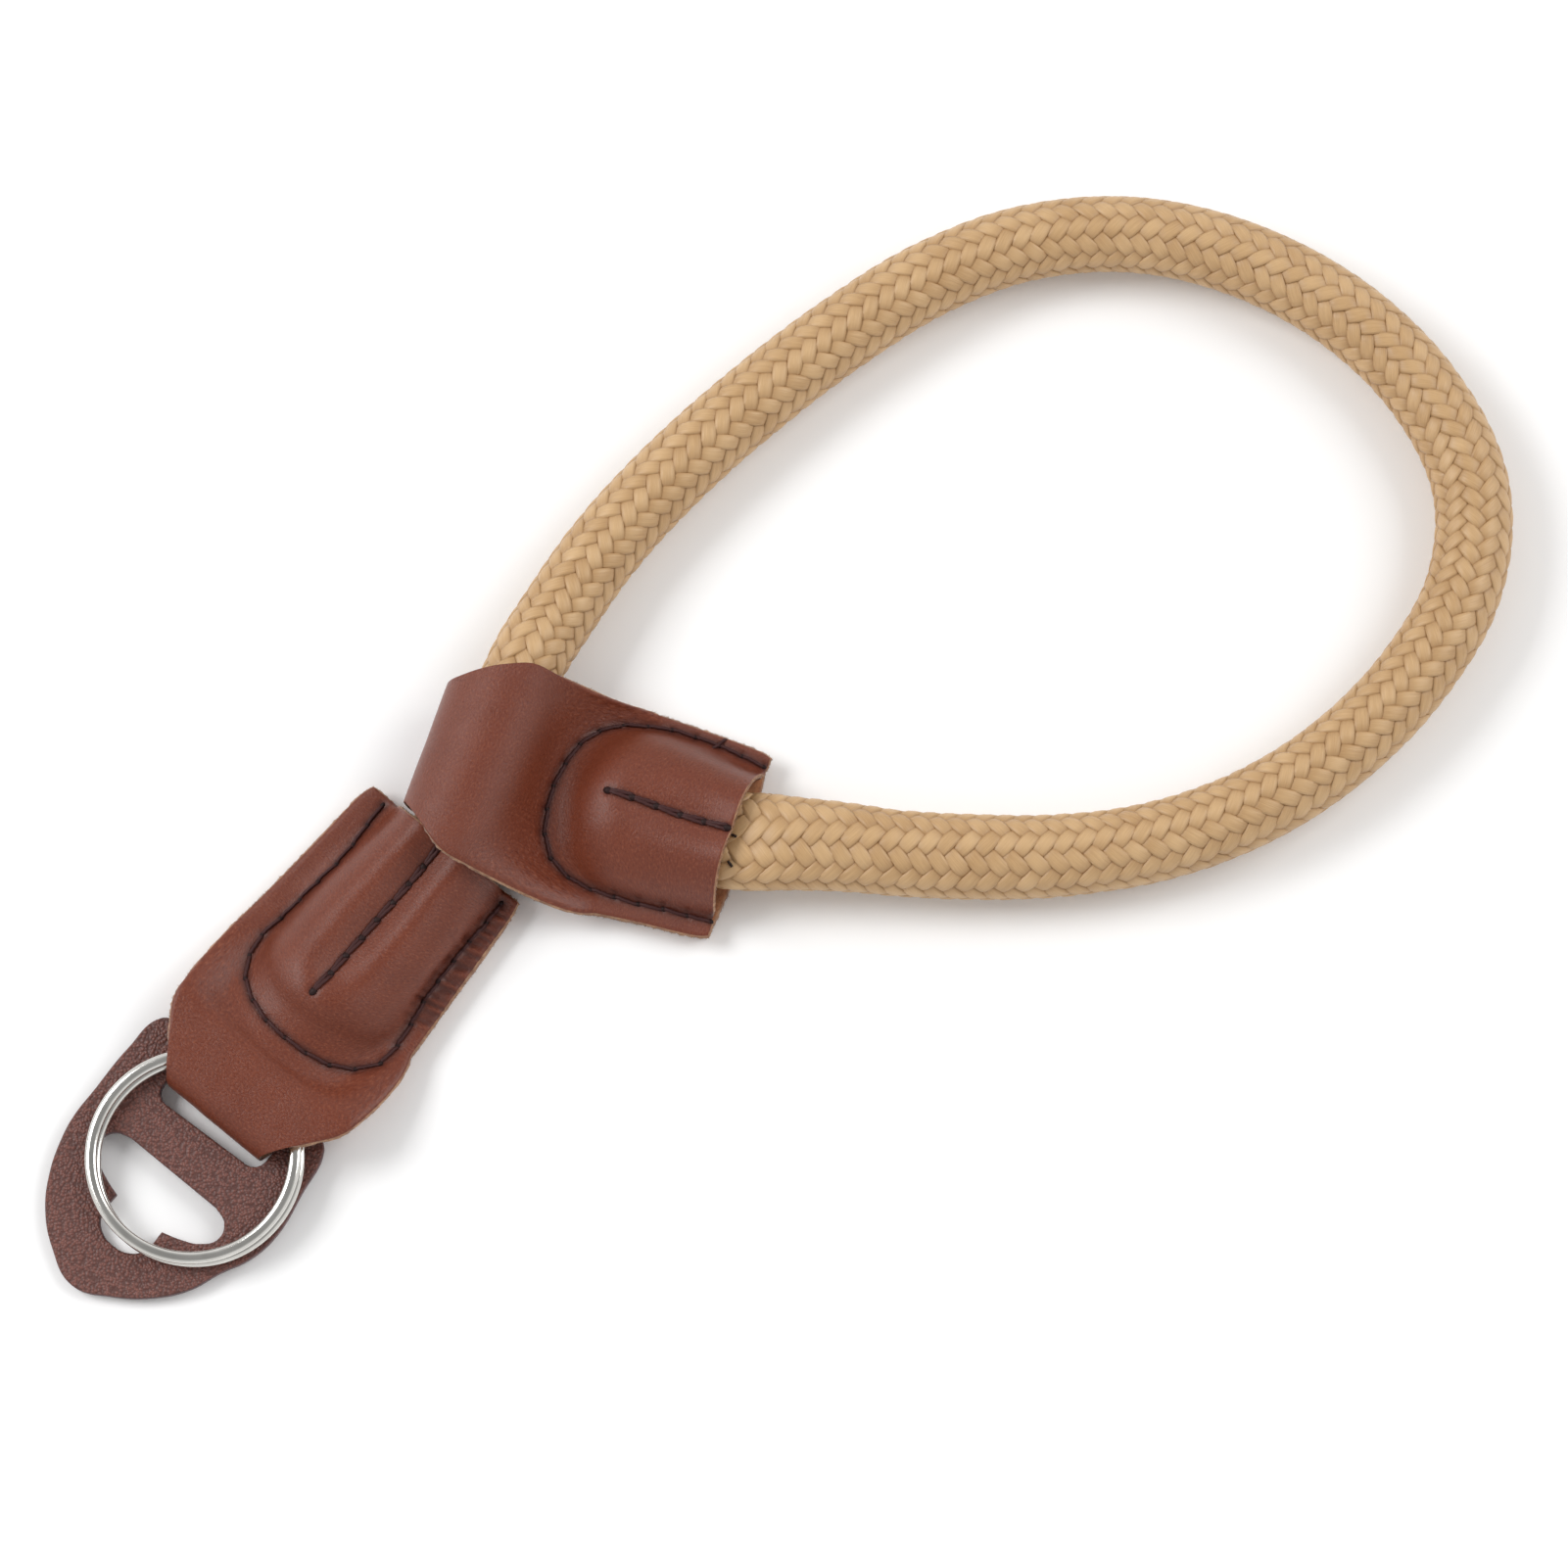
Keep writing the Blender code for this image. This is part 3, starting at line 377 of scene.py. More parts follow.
def sewn_strip(length, reach, lower, upper, foot, seam_half, flange, slack, centre, press):
    """Gather the sizes of a strip and of the pocket that its seam makes for the rope."""
    spread = smooth_value(press, "spread", 1.0)
    mouth_half = ROPE_RADIUS + (PRESSED_WIDTH / 2 - ROPE_RADIUS) * spread + ROPE_FLOOR + slack
    start = foot + SEAM_FLAT
    sizes = (start, seam_half, mouth_half, centre, press)
    return Strip(length, seam_half + flange, reach, lower, upper, *sizes)


TAB = sewn_strip(
    TAB_LENGTH, TAB_REACH, TAB_LOWER, TAB_UPPER, TAB_SEAM_FOOT, TAB_SEAM_HALF, TAB_FLANGE,
    TAB_MOUTH_SLACK, 0.0, TAB_PRESS,
)
SLIDER = sewn_strip(
    SLIDER_LENGTH, SLIDER_REACH, SLIDER_LOWER, SLIDER_UPPER, SLIDER_SEAM_FOOT, SLIDER_SEAM_HALF,
    SLIDER_FLANGE, SLIDER_MOUTH_SLACK, SLIDER_SEAM_CENTRE, SLIDER_PRESS,
)


# Shapes of the strips' outer faces, each in its own frame: x from the fold, y across, z up

def rope_end(strip):
    """Distance from the fold to the rope's cut end in a pocket."""
    return strip.start + ROPE_END_SET_BACK


def pocket_share(strip, along):
    """Share of the pocket's length, from the rope's cut end to the mouth."""
    end = rope_end(strip)
    return (along - end) / (strip.length - end)


def groove_share(groove, across):
    """What the centre stitches leave of the height at a distance from them."""
    return 1.0 - groove * math.exp(-((across / GROOVE_WIDTH) ** 2))


def closed_end(strip, across):
    """Distance along a strip at which the rope's bulge starts, at a distance across."""
    side = min(abs(across - strip.centre) / strip.seam_half, 1.0)
    depth = POCKET_END_SHARE * strip.seam_half
    return strip.start + depth * (1.0 - math.sqrt(1.0 - side * side))


def ramp_foot(strip, across):
    """Distance along a strip at which its upper layer comes down to the seam."""
    return closed_end(strip, strip.centre + (across - strip.centre) * RAMP_BEND) - SEAM_FLAT


def foot_half(strip, along):
    """Half width of the rope's bulge at a distance along a strip."""
    share = (along - strip.start) / (strip.length - strip.start)
    narrowing = smooth_step((share - MOUTH_NARROWING) / (1.0 - MOUTH_NARROWING))
    return strip.seam_half + (strip.mouth_half - strip.seam_half) * narrowing


def pocket_height(strip, along, across):
    """Rise of a strip's upper layer over its seam, where the rope lies under it."""
    side = abs(across - strip.centre) / foot_half(strip, along)
    end = max(0.0, 1.0 - (along - strip.start) / (POCKET_END_SHARE * strip.seam_half))
    edge = math.hypot(side, end)
    if edge >= 1.0:
        return 0.0
    share = pocket_share(strip, along)
    press = smooth_value(strip.press, "press", share)
    groove = smooth_value(strip.press, "groove", share)
    height = ROPE_DIAMETER + (PRESSED_HEIGHT - ROPE_DIAMETER) * press + 3 * CLEARANCE
    swell = (1.0 - edge**SWELL_ROUNDNESS) ** (SWELL_STEEPNESS + SWELL_END_EASE * end)
    return height * swell * groove_share(groove, across - strip.centre)


def column_across(strip, outline, along, column):
    """Distance across a strip of a column of its mesh, at a distance along it."""
    side, name = (1.0, "left") if column > 0.0 else (-1.0, "right")
    waist = WAIST_WIDTH / 2
    share = smooth_value(outline, name, along / strip.length)
    edge = waist + (strip.half_width - waist) * share
    foot = side * min(foot_half(strip, along) + side * strip.centre, FOOT_LIMIT * edge)
    if abs(column) <= 1.0:
        return strip.centre + (foot - strip.centre) * abs(column)
    return foot + (side * edge - foot) * (abs(column) - 1.0)


def strip_row(strip, outline, along, place):
    """One row of a strip's outer face. Place gives x and z at a distance across."""
    row = []
    for column in COLUMNS:
        across = column_across(strip, outline, along, column)
        x, z = place(across)
        row.append((x, across, z))
    return row


def upper_row(strip, place):
    """One row of the upper layer that bends with the closed end of the rope's bulge."""
    return strip_row(strip, strip.upper, place(strip.centre + strip.seam_half)[0], place)


def even_shares(count, first=0):
    """Shares from 0 to 1, from the step numbered first."""
    return [step / count for step in range(first, count + 1)]


def lower_rows(strip, fold_x):
    """Rows of a strip's flat lower layer, from its mouth to the fold."""
    rows = []
    reach = strip.length + strip.reach
    for share in even_shares(LOWER_ROWS):
        x = reach + (fold_x - reach) * share
        curve = LOWER_END_CURVE * (1.0 - share) ** 3

        def on_table(across):
            return x - curve * (across / strip.half_width) ** 2, 0.0

        rows.append(strip_row(strip, strip.lower, x * strip.length / reach, on_table))
    return rows


def pocket_rows(strip):
    """Rows of a strip's seam and of the bulge over the rope, up to the mouth."""
    rows = []
    for share in even_shares(SEAM_ROWS, 1):

        def on_seam(across):
            foot = ramp_foot(strip, across)
            return foot + (closed_end(strip, across) - foot) * share, SEAM_TOP

        rows.append(upper_row(strip, on_seam))
    for share in even_shares(BULGE_ROWS, 1):

        def on_bulge(across):
            start = closed_end(strip, across)
            mouth = strip.length - MOUTH_RETREAT * pocket_height(strip, strip.length, across)
            x = start + (mouth - start) * (0.35 * share + 0.65 * share**1.5)
            return x, SEAM_TOP + pocket_height(strip, x, across)

        rows.append(upper_row(strip, on_bulge))
    return rows


def bar_front():
    """Distance from the tab's fold to the front edge of the pad's bar."""
    return STRIP_THICKNESS + PAD_BAR_SET_IN


def pad_slope():
    """Slope of the pad, from its tip on the table up to its bar on the tab's lower layer."""
    return math.asin(ROPE_FLOOR / (PAD_LENGTH - PAD_BAR_WIDTH))


def ring_plane_height(x):
    """Height of the ring's upper side at a distance from the tab's fold, with the pad's slope."""
    level = ROPE_FLOOR + PAD_THICKNESS + CLEARANCE + 2 * RING_COIL_HEIGHT
    return level + (x - bar_front()) * math.tan(pad_slope())


def fold_arc(radius, centre_z, first_angle, steps):
    """Points of a quarter turn of a fold's outer face, from its underside upwards."""
    turns = [math.radians(first_angle - 90.0 * share) for share in even_shares(steps)]
    return [(radius + radius * math.cos(t), centre_z + radius * math.sin(t)) for t in turns]


def tab_rows():
    """Rows of the tab's outer face, from its lower mouth round the ring to its upper mouth."""
    under_steps, over_steps, ring_steps, ramp_steps = RING_FOLD_ROWS
    lower_radius = STRIP_THICKNESS + TAB_FOLD_RADIUS
    upper_radius = STRIP_THICKNESS + TAB_TOP_RADIUS
    over_ring = CLEARANCE + STRIP_THICKNESS
    ring_end = RING_REACH + STRIP_THICKNESS / 2
    crest = ring_plane_height(upper_radius) + over_ring
    rows = lower_rows(TAB, lower_radius)
    first_upper = len(rows)
    under = fold_arc(lower_radius, lower_radius, -90.0, under_steps)[1:]
    over = fold_arc(upper_radius, crest - upper_radius, 180.0, over_steps)
    for share in even_shares(ring_steps, 1):
        x = upper_radius + (ring_end - upper_radius) * share
        over.append((x, ring_plane_height(x) + over_ring))
    rows += [strip_row(TAB, TAB_LOWER, 0.0, lambda across: place) for place in under]
    rows += [strip_row(TAB, TAB_UPPER, place[0], lambda across: place) for place in over]
    high = ring_plane_height(ring_end) + over_ring
    for share in even_shares(ramp_steps, 1):

        def down_ramp(across):
            x = ring_end + (ramp_foot(TAB, across) - ring_end) * share
            return x, high + (SEAM_TOP - high) * smooth_step(share)

        rows.append(upper_row(TAB, down_ramp))
    return rows + pocket_rows(TAB), first_upper


def crossing_share(across):
    """Share of the way across the slider, 0 where the rope enters and 1 where it leaves."""
    return (across + SLIDER.half_width) / (2 * SLIDER.half_width)


def crossing_x(across):
    """Distance from the slider's fold to the rope's middle, at a distance across the slider."""
    return CROSSING_IN + (CROSSING_OUT - CROSSING_IN) * crossing_share(across)


def slider_tube_reach(across):
    """Half width of the slider's tube towards the mouth. It is widest where the rope enters."""
    return SLIDER_TUBE_RADIUS + SLIDER_ENTRY_WIDENING * (1.0 - crossing_share(across))


def slider_tube_point(angle, across):
    """Point of the slider's outer face round the rope. The angle is 0 towards the mouth."""
    centre = crossing_x(across)
    reach = centre if math.cos(angle) < 0.0 else slider_tube_reach(across)
    return centre + reach * math.cos(angle), SLIDER_TUBE_RADIUS * (1.0 + math.sin(angle))


def slider_wall_start(across):
    """Angle at which the upper layer leaves the rope in a straight wall down to the seam."""
    radius = SLIDER_TUBE_RADIUS
    over = (ramp_foot(SLIDER, across) - crossing_x(across)) * radius / slider_tube_reach(across)
    down = SEAM_TOP - radius
    return math.atan2(down, over) + math.acos(radius / math.hypot(over, down))


def slider_rows():
    """Rows of the slider's outer face, from its lower mouth round the rope to its upper mouth."""
    fold_steps, top_steps, wall_steps = ROPE_FOLD_ROWS
    rows = lower_rows(SLIDER, CROSSING_OUT)
    first_upper = len(rows)
    for share in even_shares(fold_steps, 1):

        def round_fold(across):
            return slider_tube_point(math.radians(-90.0 - 180.0 * share), across)

        outline = SLIDER_LOWER if share < 0.5 else SLIDER_UPPER
        rows.append(strip_row(SLIDER, outline, round_fold(0.0)[0], round_fold))
    for share in even_shares(top_steps, 1):

        def over_rope(across):
            turn = slider_wall_start(across) - math.pi / 2
            return slider_tube_point(math.pi / 2 + turn * share, across)

        rows.append(upper_row(SLIDER, over_rope))
    for share in even_shares(wall_steps, 1):

        def down_wall(across):
            x, z = slider_tube_point(slider_wall_start(across), across)
            return x + (ramp_foot(SLIDER, across) - x) * share, z + (SEAM_TOP - z) * share

        rows.append(upper_row(SLIDER, down_wall))
    return rows + pocket_rows(SLIDER), first_upper


def tab_matrix():
    """Placement of the tab's own frame."""
    return Matrix.Translation((-TAB_LENGTH / 2, 0.0, 0.0))


def slider_matrix():
    """Placement of the slider's own frame. Its rope comes from the middle of the tab's mouth."""
    from_mouth = Vector((crossing_x(-SLIDER_SET_OUT), -SLIDER_SET_OUT, 0.0))
    turn = Matrix.Rotation(SLIDER_TURN, 4, "Z")
    mouth = Matrix.Translation((TAB_LENGTH / 2, 0.0, 0.0))
    return mouth @ turn @ Matrix.Translation(-from_mouth)


def pad_matrix():
    """Placement of the sloping plane that carries the pad and the ring."""
    place = Matrix.Translation((bar_front() - TAB_LENGTH / 2, 0.0, ROPE_FLOOR))
    return place @ Matrix.Rotation(-pad_slope(), 4, "Y")


def smooth_curve(points, count):
    """Points on a smooth curve through the given ones. Count says how many a span takes."""
    curve = [points[0]]
    for index, (start, end) in enumerate(zip(points, points[1:])):
        lean = (end - start).length / 3
        leave = (end - points[max(index - 1, 0)]).normalized() * lean
        arrive = (points[min(index + 2, len(points) - 1)] - start).normalized() * lean
        curve += interpolate_bezier(start, start + leave, end - arrive, end, count(end - start))[1:]
    return curve


def rope_route():
    """Points of the rope's centreline, from its end in the tab to its end in the slider."""
    slider = slider_matrix()
    inside = ROPE_FLOOR + ROPE_RADIUS

    def in_pocket(strip, placement, shares):
        start = rope_end(strip)
        places = [start + (strip.length - start) * share for share in shares]
        return [placement @ Vector((x, strip.centre, inside)) for x in places]

    points = in_pocket(TAB, tab_matrix(), TAB_ROPE_SHARES)
    for share in CROSSING_SHARES:
        side = share * 2 * SLIDER.half_width
        points.append(slider @ Vector((crossing_x(side), side, inside)))
    first_free = len(points)
    points += [Vector((TAB_LENGTH / 2 + x, y, ROPE_RADIUS)) for x, y in LOOP_ROUTE]
    for index in (first_free, -1):
        points[index].z += FREE_END_LIFT * (inside - ROPE_RADIUS)
    points += in_pocket(SLIDER, slider, SLIDER_ROPE_SHARES)
    curve = smooth_curve(points, lambda span: max(1, round(span.length / ROUTE_SPACING)) + 1)
    for point in curve:
        point.z = max(point.z, ROPE_RADIUS)
    return curve


# Meshes

def mesh_object(name, points, faces, materials, slots=None):
    """Make a smooth mesh object from points and faces."""
    mesh = bpy.data.meshes.new(name)
    mesh.from_pydata([tuple(point) for point in points], [], faces)
    for material in materials:
        mesh.materials.append(material)
    if slots is not None:
        mesh.polygons.foreach_set("material_index", slots)
    mesh.polygons.foreach_set("use_smooth", [True] * len(mesh.polygons))
    mesh.update()
    return link_object(name, mesh)


def link_object(name, data):
    """Put an object with its data into the scene."""
    item = bpy.data.objects.new(name, data)
    bpy.context.scene.collection.objects.link(item)
    return item


def set_uv(mesh, coordinates):
    """Write a UV map from a pair of numbers for each vertex."""
    while mesh.uv_layers:
        mesh.uv_layers.remove(mesh.uv_layers[0])
    layer = mesh.uv_layers.new(name="UVMap")
    index = np.zeros(len(mesh.loops), np.int32)
    mesh.loops.foreach_get("vertex_index", index)
    layer.data.foreach_set("uv", np.asarray(coordinates, np.float32)[index].ravel())


def set_value(mesh, name, values):
    """Write a number for each vertex that a material reads."""
    written = mesh.attributes.new(name, "FLOAT", "POINT")
    written.data.foreach_set("value", np.asarray(values, np.float32))


def grid_faces(rows, columns, first=0):
    """Faces of a grid of vertices, wound with the row direction first."""
    faces = []
    for row in range(rows - 1):
        for column in range(columns - 1):
            a = first + row * columns + column
            faces.append((a, a + columns, a + columns + 1, a + 1))
    return faces


def tube_faces(rows, sides, first=0):
    """Side faces of a tube whose rings of vertices follow one another."""
    faces = []
    for a in range(first, first + (rows - 1) * sides, sides):
        b = a + sides
        for column in range(sides):
            after = (column + 1) % sides
            faces.append((a + column, b + column, b + after, a + after))
    return faces


def unit(vectors):
    """Vectors of length one."""
    return vectors / np.maximum(np.linalg.norm(vectors, axis=-1, keepdims=True), 1e-12)


def run_lengths(points):
    """Distance of each point from the first, along the line through them."""
    return np.concatenate([[0.0], np.cumsum(np.linalg.norm(np.diff(points, axis=0), axis=1))])


def grid_normals(grid):
    """Outward normals of a strip's outer grid."""
    return unit(np.cross(np.gradient(grid, axis=0), np.gradient(grid, axis=1)))


# Rope

class RopeLine:
    """The rope's centreline with a steady frame along it."""

    def __init__(self):
        self.points = np.array([tuple(point) for point in rope_route()])
        self.along = run_lengths(self.points)
        self.length = float(self.along[-1])
        tangent = unit(np.gradient(self.points, self.along, axis=0))
        self.side = unit(np.cross([0.0, 0.0, 1.0], tangent))
        self.up = np.cross(tangent, self.side)
        mouth = self.length - (SLIDER_LENGTH - rope_end(SLIDER))
        self.side *= 1.0 + np.interp(mouth - self.along, *zip(*ROPE_SWELL))[:, None]

    def at(self, along, angle, radius):
        """Points round the centreline."""
        along = np.clip(along, 0.0, self.length)

        def read(vectors):
            return np.stack([np.interp(along, self.along, vectors[:, i]) for i in range(3)], -1)

        round_about = np.cos(angle)[..., None] * read(self.side)
        round_about = round_about + np.sin(angle)[..., None] * read(self.up)
        return read(self.points) + radius[..., None] * round_about


def press_points(points, placement, strip):
    """Flatten points of the rope where it lies in a strip's pocket."""
    into = np.array(placement.inverted())
    out = np.array(placement)
    local = points @ into[:3, :3].T + into[:3, 3]
    last = strip.press[-1].along
    for point in local:
        share = pocket_share(strip, point[0])
        across = point[1] - strip.centre
        if share < -CUT_END_MARGIN or share > last or abs(across) > 2 * ROPE_RADIUS:
            continue
        columns = Press._fields[1:]
        spread, press, taper, groove = (smooth_value(strip.press, c, share) for c in columns)
        half_width = (ROPE_RADIUS + (PRESSED_WIDTH / 2 - ROPE_RADIUS) * spread) * taper
        height = (ROPE_DIAMETER + (PRESSED_HEIGHT - ROPE_DIAMETER) * press) * taper
        top = (point[2] - ROPE_FLOOR) / ROPE_DIAMETER
        across *= half_width / ROPE_RADIUS
        if top > 0.5:
            top *= groove_share(groove, across)
        point[1] = strip.centre + across
        point[2] = ROPE_FLOOR + top * height
    return local @ out[:3, :3].T + out[:3, 3]


def press_rope(points):
    """Flatten points of the rope in both pockets."""
    return press_points(press_points(points, tab_matrix(), TAB), slider_matrix(), SLIDER)


def strand_steps(length, turn):
    """Places along the rope of a strand's mesh rows."""
    width = BRAID_LAY / (2 * BRAID_STRANDS)
    first = 1.5 if turn > 0 else 0.5
    places = [0.0]
    for pair in range(-1, int(length / width / 2) + 2):
        for step in DIVE_STEPS:
            place = (first + 2 * pair + step) * width
            if 0.0 < place < length:
                places.append(place)
    return np.array(places + [length])


def make_strands(name, line, turn, material):
    """Make all the strands that wind one way round the rope."""
    rng = np.random.default_rng(7 if turn > 0 else 8)
    across = STRAND_ACROSS
    along = strand_steps(line.length, turn)
    count = len(along)
    lean = math.atan2(2 * math.pi * ROPE_RADIUS, BRAID_LAY)
    spread, more_spread = STRAND_SPREAD
    halfway, by_dive, by_arch, by_side = STRAND_SHADE
    wander_draws, fat_draws, tone_draws = STRAND_DRAWS

    def varied(values):
        return np.interp(along, np.linspace(0, line.length, len(values)), values)

    points, faces, uv, depth, tone = [], [], [], [], []
    for strand in range(BRAID_STRANDS):
        wander = STRAND_WANDER * varied(rng.normal(size=wander_draws))
        angle = 2 * math.pi * (strand / BRAID_STRANDS + turn * along / BRAID_LAY) + wander
        arch = turn * np.cos(0.5 * math.pi * (angle * BRAID_STRANDS / math.pi - 0.5))
        over = (1.0 - STRAND_ARCH) * np.tanh(STRAND_DIVE * arch) + STRAND_ARCH * arch
        fat = 1.0 + STRAND_UNEVENNESS * varied(rng.normal(size=fat_draws))
        crown = STRAND_CROWN * (1.0 - np.abs(across) ** 3.0)
        radius = STRAND_RADIUS + STRAND_WAVE * over[:, None] + crown[None, :] * fat[:, None]
        radius[:, (0, -1)] = CORE_RADIUS - 0.1 * MM
        shift = STRAND_HALF_WIDTH * (spread + more_spread * over[:, None]) * across[None, :]
        places = along[:, None] - turn * shift * math.sin(lean)
        angles = angle[:, None] + shift * math.cos(lean) / ROPE_RADIUS
        faces += grid_faces(count, len(across), strand * count * len(across))
        points.append(line.at(places, angles, radius).reshape(-1, 3))
        u = np.broadcast_to(shift / MM + 5.0 * strand, radius.shape)
        v = np.broadcast_to(along[:, None] / math.cos(lean) / MM, radius.shape)
        uv.append(np.stack([u, v], -1).reshape(-1, 2))
        shade = halfway + by_dive * over[:, None] + by_arch * arch[:, None]
        depth.append((shade - by_side * np.abs(across[None, :]) ** 6).ravel())
        tone.append(np.repeat(varied(rng.uniform(size=tone_draws)), len(across)))
    if turn < 0:
        faces = [face[::-1] for face in faces]
    rope = mesh_object(name, press_rope(np.concatenate(points)), faces, [material])
    set_uv(rope.data, np.concatenate(uv))
    # painted shade: the strands' material darkens them where this height is low, at their dives and
    # sides
    set_value(rope.data, "height", np.concatenate(depth))
    set_value(rope.data, "tone", np.concatenate(tone))
    return rope


def rope_surface(pieces, into):
    """The strands' faces in a strip's own frame, to find the height of the rope's surface."""
    points, faces = [], []
    for piece in pieces:
        first = len(points)
        points += [into @ vertex.co for vertex in piece.data.vertices]
        faces += [[first + corner for corner in face.vertices] for face in piece.data.polygons]
    return BVHTree.FromPolygons(points, faces)


def make_core(line, material):
    """Make the rope's core, which closes the gaps between the strands."""
    count = int(line.length / CORE_STEP)
    shape = (count, CORE_SIDES)
    along = np.linspace(0.0, line.length, count)
    angles = np.linspace(0.0, 2 * math.pi, CORE_SIDES, endpoint=False)
    radius = np.full(shape, CORE_RADIUS)
    radius[0] = radius[-1] = CORE_RADIUS * 0.3
    grid = line.at(np.broadcast_to(along[:, None], shape), np.broadcast_to(angles, shape), radius)
    faces = [(a, d, c, b) for a, b, c, d in tube_faces(*shape)]
    return mesh_object("rope_core", press_rope(grid.reshape(-1, 3)), faces, [material])


# Stitches

def stitch_line(line):
    """Stitch holes along a smooth line through the given points, and the line itself."""
    curve = smooth_curve([Vector((x, y, 0.0)) for x, y in line], lambda span: 12)
    path = np.array([(point.x, point.y) for point in curve])
    along = run_lengths(path)
    marks = np.linspace(0.0, along[-1], max(1, round(along[-1] / STITCH_PITCH)) + 1)
    return np.stack([np.interp(marks, along, path[:, i]) for i in range(2)], -1), path


def line_distance(x, y, starts, ends):
    """Distance of points from the nearest of some straight pieces, seen from above."""
    best = np.full(x.shape, 1e9)
    for (ax, ay), (bx, by) in zip(starts, ends):
        dx, dy = bx - ax, by - ay
        t = np.clip(((x - ax) * dx + (y - ay) * dy) / (dx * dx + dy * dy + 1e-12), 0.0, 1.0)
        best = np.minimum(best, np.hypot(x - ax - t * dx, y - ay - t * dy))
    return best


def surface_point(surface, x, y):
    """Point and normal of a surface under a place given in millimetres."""
    hit, normal, _, _ = surface.ray_cast(Vector((x, y, 30.0)) * MM, Vector((0, 0, -1)))
    return (None, None) if hit is None or normal.z < 0.0 else (hit, normal)


def thread_segment(surface, start, end, seam):
    """Points of one stitch: a twisted thread from hole to hole that dips into both."""
    rings = []
    for share in even_shares(THREAD_STEPS):
        hit, normal = surface_point(surface, *(start + (end - start) * share))
        if hit is None:
            return None
        lift = seam.lift * seam.width * (1.0 - (2 * abs(share - 0.5)) ** THREAD_DIVE * seam.dip)
        rings.append((hit + normal * lift * MM, normal))
    points = []
    for index, (centre, normal) in enumerate(rings):
        tangent = rings[min(index + 1, THREAD_STEPS)][0] - rings[max(index - 1, 0)][0]
        side = tangent.normalized().cross(normal).normalized()
        up = side.cross(tangent.normalized())
        for corner in range(THREAD_SIDES):
            turn = 2 * math.pi * corner / THREAD_SIDES
            twist = 2 * turn - 2 * math.pi * THREAD_TURNS * index / THREAD_STEPS
            radius = 0.5 * seam.width * MM * (1.0 + THREAD_TWIST * math.cos(twist))
            round_about = side * math.cos(turn) + up * THREAD_FLATNESS * math.sin(turn)
            points.append(centre + round_about * radius)
    return points


def hole_bead(surface, place, heading, sizes):
    """Points of the knot of thread in a stitch hole, as rings from its foot to its top. Its dark
    colour is painted shade of the hole.
    """
    hit, normal = surface_point(surface, *place)
    if hit is None:
        return None
    along = Vector((heading[0], heading[1], 0.0))
    along = (along - normal * along.dot(normal)).normalized()
    side = normal.cross(along)
    low, high = KNOT_TILTS
    points = []
    for share in even_shares(3):
        tilt = math.radians(low + (high - low) * share)
        for corner in range(THREAD_SIDES):
            turn = 2 * math.pi * corner / THREAD_SIDES
            reach = along * (sizes[0] * math.cos(turn)) + side * (sizes[1] * math.sin(turn))
            points.append(hit + (reach * math.cos(tilt) + normal * sizes[2] * math.sin(tilt)) * MM)
    return points


def make_stitches(name, surface, seams, placement, materials):
    """Make the stitches of a strip's seams: their threads and the knots at the holes, which are
    coloured dark as painted shade of the holes.
    """
    points, faces, slots = [], [], []

    def add_tube(tube, slot):
        if tube is None:
            return
        first = len(points)
        points.extend(placement @ point for point in tube)
        faces.extend(tube_faces(len(tube) // THREAD_SIDES, THREAD_SIDES, first))
        faces.append(tuple(range(first, first + THREAD_SIDES)))
        faces.append(tuple(range(len(points) - 1, len(points) - 1 - THREAD_SIDES, -1)))
        slots.extend([slot] * (len(faces) - len(slots)))

    rng = np.random.default_rng(len(name))
    for seam in seams:
        holes = seam.holes + rng.normal(size=seam.holes.shape) * HOLE_SCATTER
        for start, end in zip(holes, holes[1:]):
            heading = (end - start) / max(np.linalg.norm(end - start), 1e-6)
            aside = np.array([-heading[1], heading[0]])
            for ply in range(seam.plies):
                shift = (ply - (seam.plies - 1) / 2) * seam.width * PLY_SPACING
                slant = seam.slant * (1 if ply % 2 == 0 else -1)
                ends = start + aside * (shift + slant), end + aside * (shift - slant)
                add_tube(thread_segment(surface, *ends, seam), 0)
            if seam.knot:
                add_tube(hole_bead(surface, start, heading, seam.knot), 1)
        if seam.knot:
            add_tube(hole_bead(surface, holes[-1], heading, seam.knot), 1)
    return mesh_object(name, points, faces, materials, slots)


# Leather strips

def bumpy(points, scale, seed):
    """Slow unevenness of a surface, from -1 to 1, at each point."""
    shift = Vector((seed * 13.7, seed * 5.1, seed * 9.3))
    values = [noise.noise(Vector(point) / scale + shift) for point in points.reshape(-1, 3)]
    return np.array(values).reshape(points.shape[:-1])


def soften(grid):
    """Round a grid's creases, as thick leather does. Its ends stay."""
    grid = grid.copy()
    for _ in range(SOFTENING_ROUNDS):
        near = grid[:-2, 1:-1] + grid[2:, 1:-1] + grid[1:-1, :-2] + grid[1:-1, 2:]
        grid[1:-1, 1:-1] += 0.5 * (near / 4 - grid[1:-1, 1:-1])
        for edge in (0, -1):
            near = grid[:-2, edge] + grid[2:, edge]
            grid[1:-1, edge] += 0.5 * (near / 2 - grid[1:-1, edge])
    return grid


